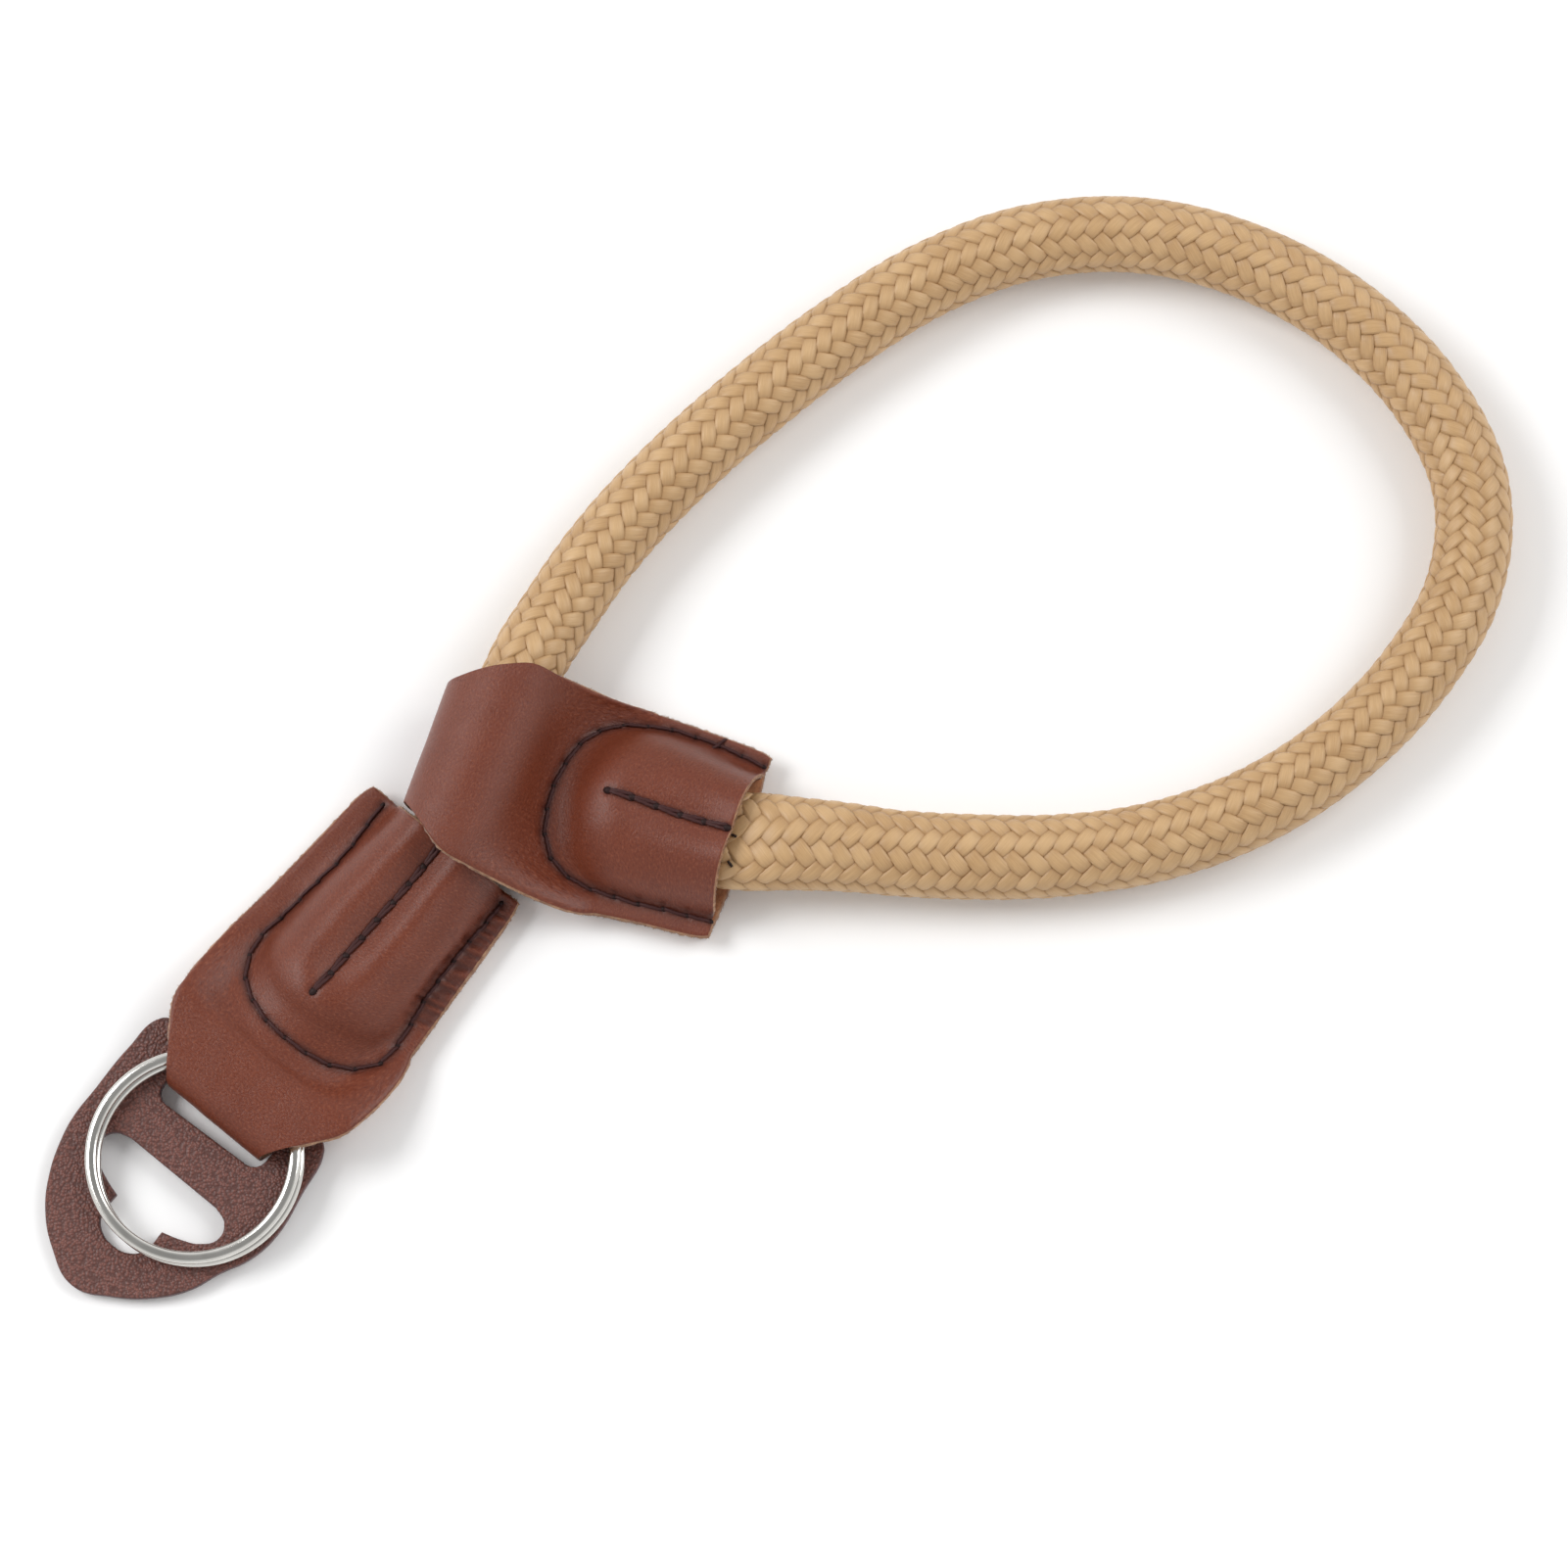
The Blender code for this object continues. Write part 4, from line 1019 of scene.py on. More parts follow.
def fill_hollows(grid, first_upper, reach, length):
    """Raise the hollows of a strip's upper layer, where thick leather bends in a wide curve."""
    grid = grid.copy()
    for column in range(grid.shape[1]):
        line = grid[first_upper:, column]
        x, z = line[:, 0], line[:, 2].copy()
        weight = np.exp(-(((x[:, None] - x[None, :]) / reach) ** 2))
        weight = weight * np.maximum(np.abs(np.gradient(x)), 1e-7)[None, :]
        wide = (weight @ z) / weight.sum(axis=1)
        inside = np.clip((length - HOLLOW_END - x) / HOLLOW_END, 0.0, 1.0)
        inside = inside * np.clip((x - HOLLOW_START) / HOLLOW_BLEND, 0.0, 1.0)
        line[:, 2] = z + np.maximum(wide - z, 0.0) * inside
    return grid


def puckers(x, y, region):
    """Small creases across a flange, from 0 to 1 in height."""
    (low_x, high_x), (low_y, high_y) = region
    inside = np.clip((x - low_x) / 3.0, 0.0, 1.0) * np.clip((high_x - x) / 2.0, 0.0, 1.0)
    inside = inside * np.clip((y - low_y) / 0.6, 0.0, 1.0) * np.clip((high_y - y) / 0.8, 0.0, 1.0)
    wave = np.sin(4.1 * x + 1.6 * y + 1.3 * np.sin(1.7 * x)) * np.sin(1.1 * x + 0.6)
    return inside * (0.5 + 0.5 * wave)


def strip_relief(grid, normals, first_upper, lines, seed):
    """Move a strip's upper layer for its stitch furrows and holes and its unevenness, and give the
    shares of furrow and hole where the material paints shade.
    """
    x, y = grid[..., 0] / MM, grid[..., 1] / MM
    upper = np.zeros(x.shape)
    upper[first_upper:] = np.clip((normals[first_upper:, :, 2] + 0.2) * 2.0, 0.0, 1.0)
    groove = np.zeros(x.shape)
    hole = np.zeros(x.shape)
    for holes, path, depth in lines:
        from_line = line_distance(x, y, path, path[1:]) / FURROW[1]
        groove = np.maximum(groove, depth * np.exp(-(from_line**2)))
        hole = np.maximum(hole, np.exp(-((line_distance(x, y, holes, holes) / HOLE[1]) ** 2)))
    shift = -FURROW[0] * groove * upper - HOLE[0] * hole * upper
    (slow, slow_size), (quick, quick_size) = UNEVENNESS
    uneven = slow * bumpy(grid, slow_size * MM, seed)
    uneven = uneven + quick * bumpy(grid, quick_size * MM, seed + 3)
    if seed == TAB_SEED:
        crease = puckers(x, y, TAB_PUCKERS) * upper
        uneven = uneven - PUCKER_DEPTH * crease
        # painted shade: the puckers' creases join the furrows that the leather's material darkens
        groove = np.maximum(groove, np.minimum(1.5 * crease, 1.0))
    edge = np.array([min(1.0, (2.0 - abs(column)) / 0.10) for column in COLUMNS])
    uneven = uneven - EDGE_DROP * (1.0 - edge[None, :]) ** 2
    shift[first_upper:] += uneven[first_upper:]
    return grid + normals * shift[..., None] * MM, groove * upper, hole * upper


def edge_fibres(middle, outer, under, first, seed):
    """Make loose fibres on a cut edge, as thin pointed spikes."""
    rng = np.random.default_rng(seed)
    points, faces = [], []
    for index, crest in enumerate(middle):
        step = middle[(index + 1) % len(middle)] - crest
        for _ in range(2):
            level = rng.uniform(*FIBRE_LEVELS)
            side = outer[index] if level > 0 else under[index]
            root = crest + (side - crest) * abs(level) + step * rng.uniform()
            out = unit(2 * crest - outer[index] - under[index])
            tip = out * rng.uniform(*FIBRE_LENGTHS) + unit(step) * rng.normal() * FIBRE_LEAN[0]
            tip = tip + np.array([0.0, 0.0, FIBRE_LEAN[1] * rng.normal()])
            across = unit(np.cross(out, step)) * FIBRE_HALF_WIDTH * MM
            along = unit(step) * FIBRE_HALF_WIDTH * MM
            a = first + len(points)
            b, c, d = a + 1, a + 2, a + 3
            points += [root + across, root - across, root + along, root + tip * MM]
            faces += [(a, b, d), (b, c, d), (c, a, d), (a, c, b)]
    return np.array(points), faces


def leather_thickness(strip, grid):
    """Thickness of a strip at each point of its grid. It is pared thin at its bulge's mouth."""
    near_mouth = np.clip((grid[..., 0] / strip.length - PARED_START) / PARED_RUN, 0.0, 1.0)
    raised = np.clip((grid[..., 2] - SEAM_TOP) / (2 * MM), 0.0, 1.0)
    return STRIP_THICKNESS * (1.0 - PARED_SHARE * near_mouth * raised)


def grid_border(count, width):
    """Vertices round a grid, in order."""
    border = [*range(width)]
    border += [row * width + width - 1 for row in range(1, count)]
    border += [(count - 1) * width + column for column in range(width - 2, -1, -1)]
    return border + [row * width for row in range(count - 2, 0, -1)]


def make_leather(name, strip, rows, placement, lines, seed, materials):
    """Make a folded strip with a smooth outside, a fibrous inside and cut edges between."""
    rows, first_upper = rows
    base = np.array(rows, float)
    reach, rounds = TAB_HOLLOW if strip is TAB else SLIDER_HOLLOW
    for _ in range(rounds):
        base = fill_hollows(base, first_upper, reach, strip.length)
    base = soften(base)
    normals = grid_normals(base)
    grid, groove, hole = strip_relief(base, normals, first_upper, lines, seed)
    count, width = base.shape[:2]
    size = count * width
    inner = base - normals * leather_thickness(strip, base)[..., None]
    inner[..., 1] = np.clip(inner[..., 1], base[:, :1, 1], base[:, -1:, 1])
    outer_faces = grid_faces(count, width)
    inner_faces = [face[::-1] for face in grid_faces(count, width, size)]

    border = grid_border(count, width)
    outer, under = grid.reshape(-1, 3)[border], inner.reshape(-1, 3)[border]
    out = unit(np.cross(outer - under, unit(np.roll(outer, -1, 0) - np.roll(outer, 1, 0))))
    aside = Vector((seed, 0, 0))
    rough = np.array([noise.noise(Vector(point) / (0.5 * MM) + aside) for point in outer])
    stand = (CREST_OUT[0] + CREST_OUT[1] * rough)[:, None] * MM
    middle = outer + (under - outer) * EDGE_CREST + out * stand
    edge_faces = []
    for index, a in enumerate(border):
        after = (index + 1) % len(border)
        b, m, n = border[after], 2 * size + index, 2 * size + after
        edge_faces += [(a, b, n, m), (m, n, size + b, size + a)]
    fibres, fibre_faces = edge_fibres(middle, outer, under, 2 * size + len(border), seed)
    edge_faces += fibre_faces

    points = np.concatenate([grid.reshape(-1, 3), inner.reshape(-1, 3), middle, fibres])
    slots = [0] * len(outer_faces) + [1] * len(inner_faces) + [2] * len(edge_faces)
    matrix = np.array(placement)
    placed = points @ matrix[:3, :3].T + matrix[:3, 3]
    placed[:, 2] = np.maximum(placed[:, 2], 0.0)
    piece = mesh_object(name, placed, outer_faces + inner_faces + edge_faces, materials, slots)
    along = np.broadcast_to(run_lengths(base[:, width // 2])[:, None] / MM, (count, width))
    uv = np.stack([base[..., 1] / MM, along], -1).reshape(-1, 2)
    set_uv(piece.data, np.concatenate([uv, uv, uv[border], np.zeros((len(fibres), 2))]))
    # painted shade: the seam value darkens the leather in its stitch furrows, holes and pucker
    # creases
    seam = np.zeros(len(points))
    seam[:size] = np.clip(groove + hole, 0.0, 1.0).ravel()
    set_value(piece.data, "seam", seam)
    return piece, BVHTree.FromPolygons([Vector(p) for p in grid.reshape(-1, 3)], outer_faces)


# Pad and ring

def add_spline(curve, corners, smooth):
    """Add a closed outline to a flat curve. Smooth says which points are round."""
    line = curve.splines.new("BEZIER")
    line.bezier_points.add(len(corners) - 1)
    for target, (x, y), is_round in zip(line.bezier_points, corners, smooth):
        target.co = (x, y, 0.0)
        target.handle_left_type = target.handle_right_type = "AUTO" if is_round else "VECTOR"
    line.use_cyclic_u = True
    line.resolution_u = 12


def pad_outline():
    """Outer edge of the pad in its own frame, whose origin is the bar's front edge."""
    left, right = [], []
    for along, left_share, right_share in PAD_OUTLINE:
        x = PAD_BAR_WIDTH - along * PAD_LENGTH
        left.append((x, left_share * PAD_WIDTH / 2))
        right.append((x, -right_share * PAD_WIDTH / 2))
    tip = (PAD_BAR_WIDTH - PAD_LENGTH, PAD_TIP_SIDE * PAD_WIDTH / 2)
    corners = left + [tip] + right[::-1]
    return corners, [False] + [True] * (len(corners) - 2) + [False]


def strap_slot_width():
    """Width of the slot that the tab's waist passes through."""
    return PAD_BAR_SET_IN + STRIP_THICKNESS + STRAP_SLOT_SLACK


def strap_slot():
    """Slot that the tab passes through, with rounded corners, behind which the bar lies."""
    corner = STRAP_SLOT_CORNER
    half_length = WAIST_WIDTH / 2 + 2 * CLEARANCE
    side = half_length - corner
    back = corner - strap_slot_width()
    corners = []
    middles = ((-corner, side), (back, side), (back, -side), (-corner, -side))
    for quarter, (x, y) in enumerate(middles):
        for step in range(5):
            angle = math.radians(90.0 * quarter + 22.5 * step)
            px, py = x + corner * math.cos(angle), y + corner * math.sin(angle)
            if px < -corner:
                px += STRAP_SLOT_TAPER * (half_length - py) / (2 * half_length)
            corners.append((px, py))
    return corners, [False] * len(corners)


def lug_slot():
    """Mushroom slot for the camera's lug."""
    front = -strap_slot_width() - LUG_SLOT_SET_BACK
    side, smooth = [], []
    for rows, width in ((LUG_CAP, LUG_SLOT_WIDTH), (LUG_STEM, LUG_STEM_WIDTH)):
        side += [(front - row.along * LUG_SLOT_DEPTH, row.side * width / 2) for row in rows]
        smooth += [False] + [True] * (len(rows) - 1)
    corners = side + [(front - LUG_SLOT_DEPTH, 0.0)] + [(x, -y) for x, y in side[::-1]]
    return corners, smooth + [True] + smooth[::-1]


def make_pad(materials):
    """Make the slotted pad with eased edges."""
    curve = bpy.data.curves.new("pad_line", "CURVE")
    curve.dimensions = "2D"
    curve.fill_mode = "BOTH"
    curve.extrude = PAD_THICKNESS / 2 - PAD_EASE
    curve.bevel_depth = PAD_EASE
    curve.bevel_resolution = 3
    curve.offset = -PAD_EASE
    for corners, smooth in (pad_outline(), strap_slot(), lug_slot()):
        add_spline(curve, corners, smooth)
    guide = link_object("pad_line", curve)
    bpy.context.view_layer.update()
    shown = guide.evaluated_get(bpy.context.evaluated_depsgraph_get())
    mesh = bpy.data.meshes.new_from_object(shown)
    bpy.data.objects.remove(guide, do_unlink=True)
    mesh.name = "pad_leather_piece"
    mesh.materials.clear()
    for material in materials:
        mesh.materials.append(material)
    for face in mesh.polygons:
        face.material_index = 0 if abs(face.normal.z) > 0.75 else 1
        face.use_smooth = abs(face.normal.z) < 0.99
    set_uv(mesh, [(vertex.co.x / MM, vertex.co.y / MM) for vertex in mesh.vertices])
    mesh.transform(pad_matrix() @ Matrix.Translation((0.0, 0.0, PAD_THICKNESS / 2)))
    return link_object("pad_leather_piece", mesh)


def ring_section():
    """Rounded section of the ring's wire, one coil high."""
    half_width = RING_WIRE_WIDTH / 2 - RING_OFFSET - 2 * WIRE_HAIR
    half_height = RING_COIL_HEIGHT / 2 - WIRE_HAIR
    section = []
    for step in range(RING_SIDES):
        angle = 2 * math.pi * (step + 0.5) / RING_SIDES
        across, rise = (
            math.copysign(abs(value) ** RING_ROUNDNESS, value)
            for value in (math.cos(angle), math.sin(angle))
        )
        section.append((across * half_width, rise * half_height))
    return section


def make_ring(material):
    """Make the split ring as one wire of two turns, with a step where it changes level."""
    section = ring_section()
    middle = RING_DIAMETER / 2 - RING_WIRE_WIDTH / 2
    start = COIL_STEP_HALF + COIL_END_GAP
    end = 4 * math.pi - start
    points = []
    for share in even_shares(RING_STEPS):
        turn = start + (end - start) * share
        rise = 2 * smooth_step((turn - 2 * math.pi + COIL_STEP_HALF) / (2 * COIL_STEP_HALF)) - 1
        for across, height in section:
            x, y = (middle + across) * math.cos(turn), (middle + across) * math.sin(turn)
            points.append((x, y + RING_OFFSET * rise, RING_COIL_HEIGHT / 2 * rise + height))
    faces = tube_faces(RING_STEPS + 1, RING_SIDES)
    faces.append(tuple(range(RING_SIDES)))
    faces.append(tuple(range(len(points) - 1, len(points) - 1 - RING_SIDES, -1)))
    place = pad_matrix() @ Matrix.Translation(
        (RING_CENTRE - bar_front(), RING_SIDE, PAD_THICKNESS + CLEARANCE + RING_COIL_HEIGHT)
    )
    return mesh_object("ring_wire", [place @ Vector(point) for point in points], faces, [material])


# Materials. Colours are 8-bit display colours, and UV maps are in millimetres.

def linear(colour):
    """Linear colour of an 8-bit display colour."""
    values = [value / 255.0 for value in colour]
    return (*(v / 12.92 if v <= 0.04045 else ((v + 0.055) / 1.055) ** 2.4 for v in values), 1.0)


def add_node(tree, kind, inputs=None, **settings):
    """Add a node, with its settings, and its inputs as numbers or as links."""
    node = tree.nodes.new(kind)
    for key, value in settings.items():
        setattr(node, key, value)
    for key, value in (inputs or {}).items():
        if isinstance(value, bpy.types.NodeSocket):
            tree.links.new(value, node.inputs[key])
        else:
            node.inputs[key].default_value = value
    return node


def new_material(name, **uniform):
    """Make a material and set its shader's own sockets."""
    material = bpy.data.materials.new(name)
    material.use_nodes = True
    shader = material.node_tree.nodes["Principled BSDF"]
    for key, value in uniform.items():
        shader.inputs[key.replace("_", " ")].default_value = value
    return material, material.node_tree


def finish_material(material, base, roughness, normal=None):
    """Link a material's colour, roughness and bump to its shader."""
    tree = material.node_tree
    shader = tree.nodes["Principled BSDF"]
    for key, value in (("Base Color", base), ("Roughness", roughness), ("Normal", normal)):
        if value is not None:
            tree.links.new(value, shader.inputs[key])
    return material


def mix_colour(tree, share, low, high):
    """Blend two colours by a share."""
    low, high = (linear(colour) if isinstance(colour, tuple) else colour for colour in (low, high))
    inputs = {0: share, 6: low, 7: high}
    return add_node(tree, "ShaderNodeMix", inputs, data_type="RGBA").outputs[2]


def ramp(tree, value, low, high, to_low=0.0, to_high=1.0):
    """Map a number from one range to another, within its limits."""
    inputs = {"Value": value, "From Min": low, "From Max": high}
    inputs.update({"To Min": to_low, "To Max": to_high})
    return add_node(tree, "ShaderNodeMapRange", inputs).outputs["Result"]


def noise_value(tree, vector, scale, detail=2.0, roughness=0.5):
    """A noise of about 0 to 1."""
    inputs = {"Vector": vector, "Scale": scale, "Detail": detail, "Roughness": roughness}
    return add_node(tree, "ShaderNodeTexNoise", inputs).outputs["Fac"]


def cell_distance(tree, vector, feature, **inputs):
    """Distance from the middle of the nearest of some scattered cells."""
    inputs.update({"Vector": vector, "Randomness": 1.0})
    return add_node(tree, "ShaderNodeTexVoronoi", inputs, feature=feature).outputs["Distance"]


def stretched(tree, vector, scale):
    """A vector scaled along its axes."""
    return add_node(tree, "ShaderNodeMapping", {"Vector": vector, "Scale": scale}).outputs[0]


def bump(tree, height, distance, normal=None):
    """A bump of a height in metres."""
    inputs = {"Height": height, "Distance": distance, "Strength": 1.0}
    if normal is not None:
        inputs["Normal"] = normal
    return add_node(tree, "ShaderNodeBump", inputs).outputs["Normal"]


def attribute(tree, name):
    """A number kept on the mesh."""
    return add_node(tree, "ShaderNodeAttribute", attribute_name=name).outputs["Fac"]


def places(tree, kind):
    """Texture coordinates of a kind."""
    return add_node(tree, "ShaderNodeTexCoord").outputs[kind]


def rope_material():
    """Glossy pale filaments in flat bundles, with painted shade where the strands dive and at their
    sides.
    """
    material, tree = new_material("rope_filament", Specular_IOR_Level=0.5)
    uv = places(tree, "UV")
    fine = noise_value(tree, stretched(tree, uv, (8.5, 0.35, 1.0)), 1.0, 3.0, 0.6)
    coarse = noise_value(tree, stretched(tree, uv, (2.6, 0.22, 1.0)), 1.0, 2.0)
    tone = attribute(tree, "tone")
    # painted shade: the height value, low where a strand dives under another and at its sides,
    # darkens the strands' colour below
    painted_strand_shade = ramp(tree, attribute(tree, "height"), 0.2, 0.98, 0.8, 0.0)
    base = mix_colour(tree, ramp(tree, fine, 0.3, 0.7), (174, 137, 92), (197, 161, 116))
    base = mix_colour(tree, ramp(tree, coarse, 0.35, 0.65, 0.0, 0.35), base, (168, 130, 87))
    base = mix_colour(tree, ramp(tree, tone, 0.0, 1.0, 0.0, 0.45), base, (216, 182, 137))
    base = mix_colour(tree, painted_strand_shade, base, (144, 106, 67))
    rough = ramp(tree, fine, 0.2, 0.8, 0.5, 0.32)
    return finish_material(material, base, rough, bump(tree, fine, 0.00005))


def core_material():
    """Fibres that close the gaps between the strands, coloured darker than the strands as painted
    shade in the gaps.
    """
    material, tree = new_material("rope_core_fibre_painted_gap_shade")
    fine = noise_value(tree, places(tree, "Object"), 2500.0, 2.0)
    # painted shade: the core is coloured darker than the strands, for the shade in the gaps between
    # them
    base = mix_colour(tree, fine, (150, 114, 74), (174, 136, 92))
    return finish_material(material, base, ramp(tree, fine, 0.0, 1.0, 0.7, 0.9))


def leather_material():
    """Smooth reddish brown leather with a fine grain, and painted shade along its stitch furrows,
    holes and creases.
    """
    material, tree = new_material(
        "leather_smooth", Specular_IOR_Level=0.36, Coat_Weight=0.03, Coat_Roughness=0.25
    )
    uv = places(tree, "UV")
    slow = noise_value(tree, uv, 0.16, 3.0)
    middle = noise_value(tree, uv, 0.9, 4.0, 0.6)
    grain = noise_value(tree, stretched(tree, uv, (2.5, 3.7, 1.0)), 1.0, 4.0, 0.7)
    cells = cell_distance(tree, stretched(tree, uv, (3.4, 4.6, 1.0)), "F1", Scale=1.0)
    seam = attribute(tree, "seam")
    base = mix_colour(tree, ramp(tree, slow, 0.3, 0.7), (103, 47, 29), (111, 52, 32))
    base = mix_colour(tree, ramp(tree, middle, 0.35, 0.7, 0.0, 0.25), base, (99, 46, 30))
    # lighter grain specks: partly the grain's own tone, partly painted glints where the grain
    # catches the light
    base = mix_colour(tree, ramp(tree, grain, 0.52, 0.68, 0.0, 0.65), base, (138, 78, 54))
    base = mix_colour(tree, ramp(tree, grain, 0.32, 0.48, 0.6, 0.0), base, (80, 34, 22))
    # painted shade in the stitch furrows, holes and pucker creases, by the seam value
    base = mix_colour(tree, ramp(tree, seam, 0.1, 1.0, 0.0, 0.72), base, (62, 28, 22))
    pores = bump(tree, ramp(tree, cells, 0.0, 0.7, 1.0, 0.0), 0.000014)
    rough = ramp(tree, grain, 0.25, 0.75, 0.25, 0.37)
    return finish_material(material, base, rough, bump(tree, grain, 0.00009, pores))


def flesh_material(name, low, high):
    """Fibrous inside or cut edge of the leather."""
    material, tree = new_material(name, Sheen_Weight=0.25, Sheen_Roughness=0.5)
    points = places(tree, "Object")
    coarse = noise_value(tree, points, 900.0, 3.0, 0.6)
    fine = noise_value(tree, points, 4200.0, 3.0, 0.65)
    base = mix_colour(tree, ramp(tree, coarse, 0.3, 0.7), low, high)
    base = mix_colour(tree, ramp(tree, fine, 0.45, 0.75, 0.0, 0.45), base, (84, 52, 36))
    rough = ramp(tree, fine, 0.2, 0.8, 0.75, 0.95)
    return finish_material(material, base, rough, bump(tree, fine, 0.00014))


def thread_material(name, low, high):
    """Waxed thread."""
    material, tree = new_material(name, Specular_IOR_Level=0.25)
    fine = noise_value(tree, places(tree, "Object"), 5200.0, 2.0)
    rough = ramp(tree, fine, 0.2, 0.8, 0.45, 0.7)
    base = mix_colour(tree, fine, low, high)
    return finish_material(material, base, rough, bump(tree, fine, 0.00004))


def pebble_material():
    """Pebbled dark leather of the pad, with painted shade in the crevices between its pebbles."""
    material, tree = new_material("pad_pebble", Specular_IOR_Level=0.5)
    uv = places(tree, "UV")
    warp = noise_value(tree, uv, 1.2, 2.0)
    cells = cell_distance(tree, uv, "SMOOTH_F1", Scale=2.6, Smoothness=0.25)
    fine = noise_value(tree, uv, 6.0, 3.0, 0.6)
    base = mix_colour(tree, ramp(tree, warp, 0.3, 0.7), (105, 60, 51), (120, 71, 60))
    # painted shade: darker in the crevices between pebbles, away from the middles of the cells
    base = mix_colour(tree, ramp(tree, cells, 0.3, 0.65, 0.0, 0.7), base, (66, 35, 30))
    pebbles = bump(tree, ramp(tree, cells, 0.0, 0.8, 1.0, 0.0), 0.00015)
    rough = ramp(tree, fine, 0.2, 0.8, 0.36, 0.52)
    return finish_material(material, base, rough, bump(tree, fine, 0.00003, pebbles))


def steel_material():
    """Bright plated steel with faint wear."""
    material, tree = new_material("bright_steel", Metallic=1.0)
    points = places(tree, "Object")
    slow = noise_value(tree, points, 260.0, 3.0)
    fine = noise_value(tree, points, 3200.0, 2.0)
    base = mix_colour(tree, slow, (204, 202, 196), (236, 234, 229))
    rough = ramp(tree, slow, 0.3, 0.7, 0.10, 0.2)
    return finish_material(material, base, rough, bump(tree, fine, 0.000004))


def floor_material():
    """Plain pale floor."""
    return new_material("pale_floor", Roughness=0.9, Base_Color=linear((250, 250, 250)))[0]


# Camera, light and floor

def aim_object(name, data, place, target):
    """Put a camera or a light at a place and turn it to its target."""
    item = link_object(name, data)
    item.location = place
    item.rotation_mode = "QUATERNION"
    item.rotation_quaternion = (Vector(target) - Vector(place)).to_track_quat("-Z", "Y")
    return item


def make_camera():
    """Make the camera at the photograph's angle."""
    data = bpy.data.cameras.new("camera")
    data.sensor_width = 36.0
    data.lens = data.sensor_width / 2 / math.tan(CAMERA_VIEW / 2)
    data.clip_start = 0.01
    data.clip_end = 20.0
    bpy.context.scene.camera = aim_object("camera", data, CAMERA_EYE, CAMERA_TARGET)


def make_area(name, place, size, power):
    """Make a soft area light."""
    data = bpy.data.lights.new(name, "AREA")
    data.shape = "RECTANGLE"
    data.size, data.size_y = size
    data.energy = power
    aim_object(name, data, place, LIGHT_TARGET)


def make_studio():
    """Make the floor, the lights and a sky that is darker overhead and at its rim."""
    turns = ((-1, -1), (1, -1), (1, 1), (-1, 1))
    corners = [(x * FLOOR_HALF, y * FLOOR_HALF, FLOOR_LEVEL) for x, y in turns]
    floor = mesh_object("floor", corners, [(0, 1, 2, 3)], [floor_material()])
    world = bpy.data.worlds.new("studio")
    world.use_nodes = True
    bpy.context.scene.world = world
    sky = world.node_tree
    height = add_node(sky, "ShaderNodeSeparateXYZ", {"Vector": places(sky, "Generated")})
    low = ramp(sky, height.outputs["Z"], 0.0, 0.45, 0.55, 0.95)
    high = ramp(sky, height.outputs["Z"], 0.55, 0.92, 0.0, 0.62)
    brightness = add_node(sky, "ShaderNodeMath", {0: low, 1: high}, operation="SUBTRACT")
    background = sky.nodes["Background"]
    sky.links.new(brightness.outputs[0], background.inputs["Strength"])
    background.inputs["Color"].default_value = (1.0, 1.0, 1.0, 1.0)
    bpy.context.scene.view_settings.view_transform = "Standard"
    for light in LIGHTS:
        make_area(*light)


def dress_rope():
    line = RopeLine()
    filament = rope_material()
    strands = make_strands("rope_braid", line, 1, filament)
    back_strands = make_strands("rope_braid_back", line, -1, filament)
    core = make_core(line, core_material())
    for piece in (strands, back_strands, core):
        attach(piece, "root")
    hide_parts("wrist_rope")
    placement = slider_matrix()
    surface = rope_surface([strands, back_strands], placement.inverted())
    ends = [Seam(np.array(line), 0.36, 1, 0.0, None, 0.45, 0.0) for line in LOOSE_THREADS]
    dark = thread_material("loose_thread", (30, 20, 16), (52, 36, 28))
    threads = make_stitches("thread_ends", surface, ends, placement, [dark])
    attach(threads, "root")


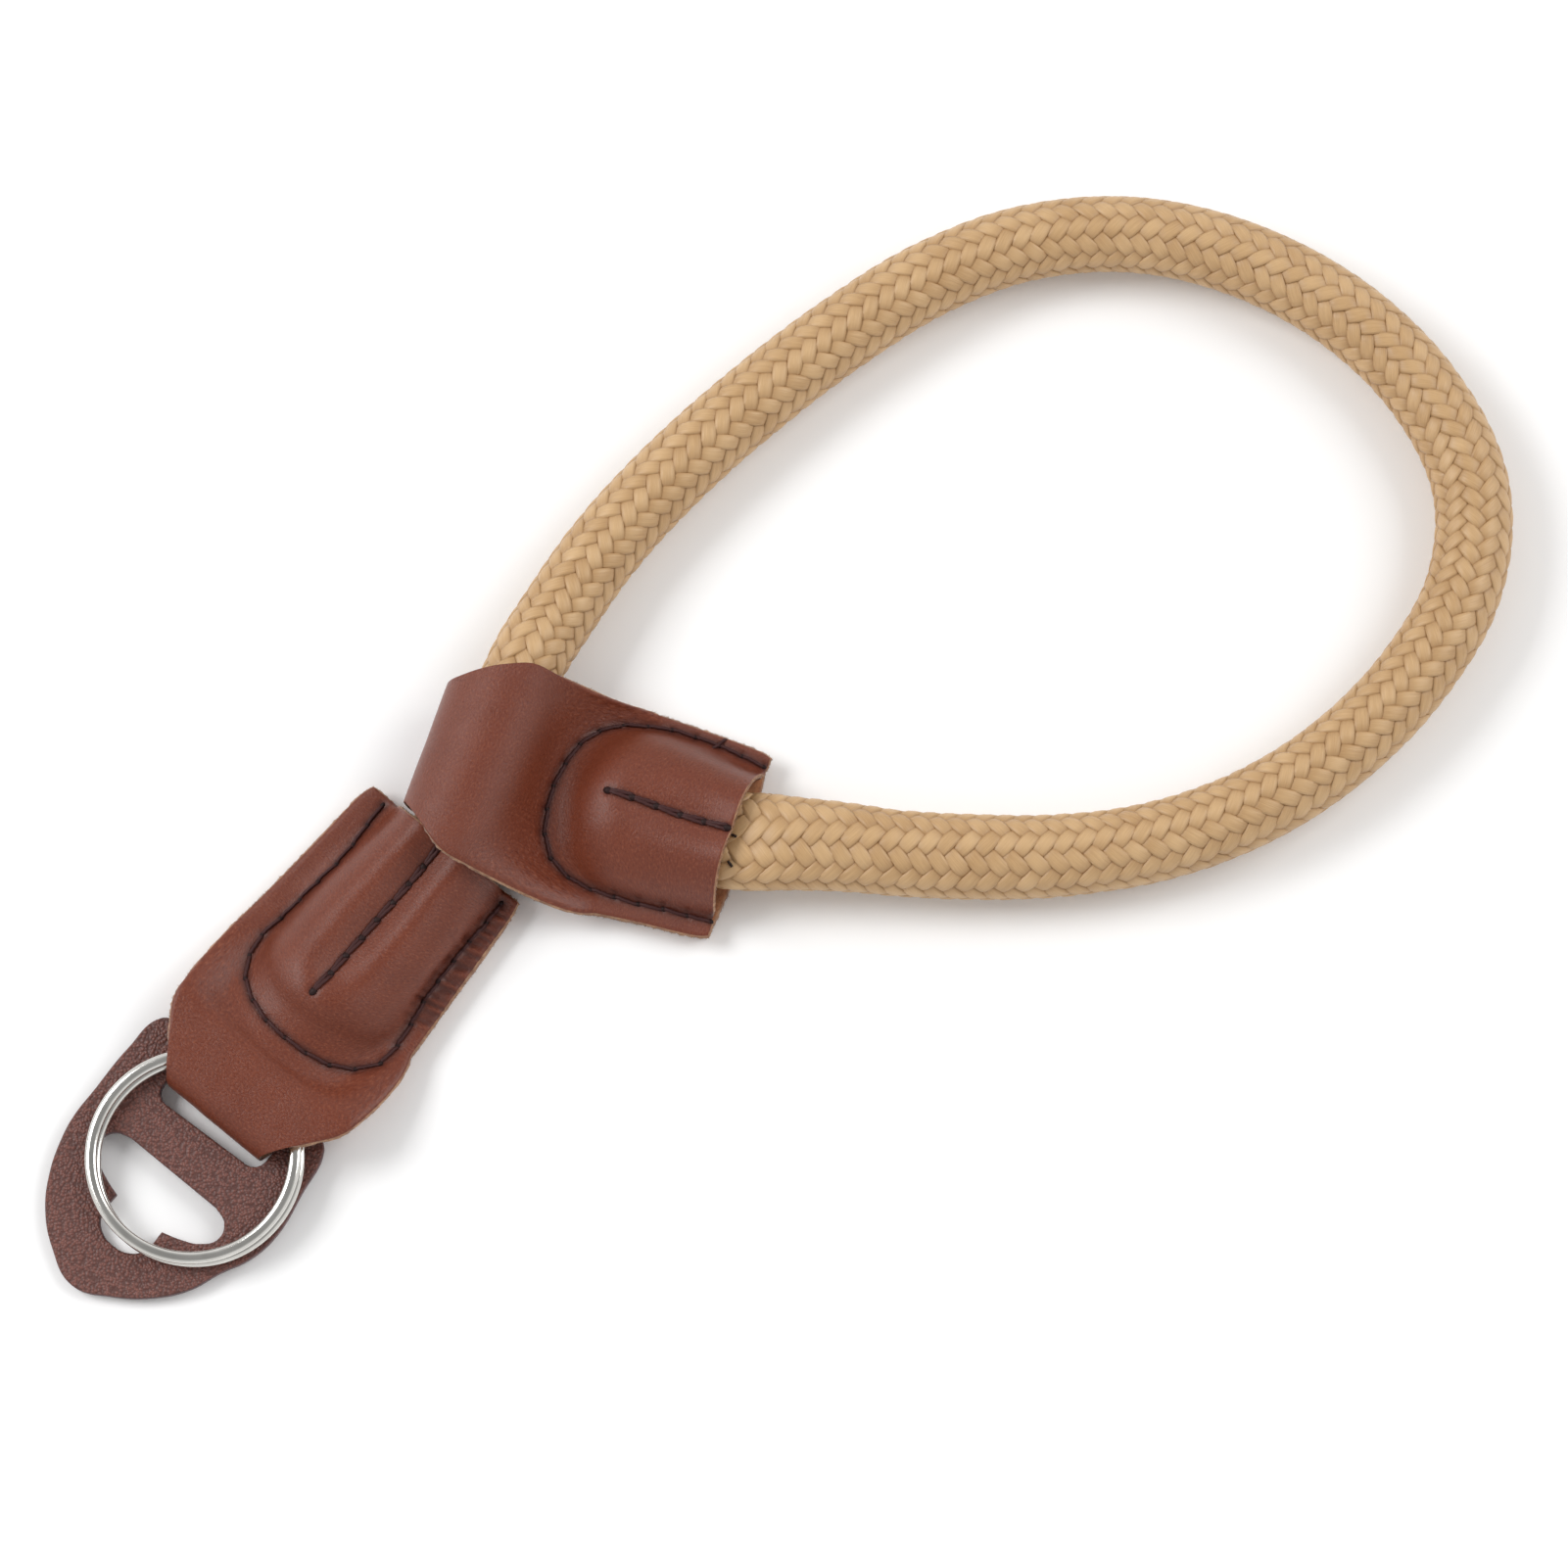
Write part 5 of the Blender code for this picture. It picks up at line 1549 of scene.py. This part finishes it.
def dress_strips():
    """Make both leather strips and their stitches."""
    leather = leather_material()
    flesh = flesh_material("leather_flesh", (150, 92, 60), (186, 128, 88))
    edge = flesh_material("leather_edge", (128, 84, 58), (184, 140, 104))
    thread = thread_material("dark_thread", (46, 22, 22), (74, 40, 38))
    # painted shade: the knots at the stitch holes are coloured much darker than the thread, for the
    # shade in the holes
    knot = thread_material("thread_knot_painted_hole_shade", (24, 10, 10), (44, 20, 18))
    tick = Seam(np.array(SLIDER_TICK), 0.42, 1, 0.0, None, 0.42, 1.6)
    tab = ("tab", "ring_tab", TAB, tab_rows(), tab_matrix(), TAB_SEED)
    slider = ("slider", "rope_slider", SLIDER, slider_rows(), slider_matrix(), SLIDER_SEED)
    for parts, seam_line, centre_line, ticks in (
        (tab, TAB_SEAM_LINE, TAB_CENTRE_LINE, []),
        (slider, SLIDER_SEAM_LINE, SLIDER_CENTRE_LINE, [tick]),
    ):
        name, node, strip, rows, placement, seed = parts
        seam_holes, seam_path = stitch_line(seam_line)
        centre_holes, centre_path = stitch_line(centre_line)
        lines = ((seam_holes, seam_path, 1.0), (centre_holes, centre_path, 0.8))
        looks = [leather, flesh, edge]
        piece, surface = make_leather(name + "_leather", strip, rows, placement, lines, seed, looks)
        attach(piece, "root")
        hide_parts(node)
        seams = [
            Seam(seam_holes, 0.46, 1, 0.10, SEAM_KNOT, 0.42, 1.6),
            Seam(centre_holes, 0.50, 2, 0.12, CENTRE_KNOT, 0.42, 1.6),
        ]
        looks = [thread, knot]
        stitches = make_stitches(name + "_stitches", surface, seams + ticks, placement, looks)
        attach(stitches, "root")


def dress_pad_and_ring():
    """Make the pad and the ring, which rides on its own body."""
    cut = flesh_material("pad_cut_edge", (60, 30, 34), (92, 54, 56))
    pad = make_pad([pebble_material(), cut])
    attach(pad, "root")
    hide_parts("lug_pad")
    ring = make_ring(steel_material())
    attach(ring, "ring")
    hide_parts("split_ring")


make_camera()
make_studio()
dress_rope()
dress_strips()
dress_pad_and_ring()
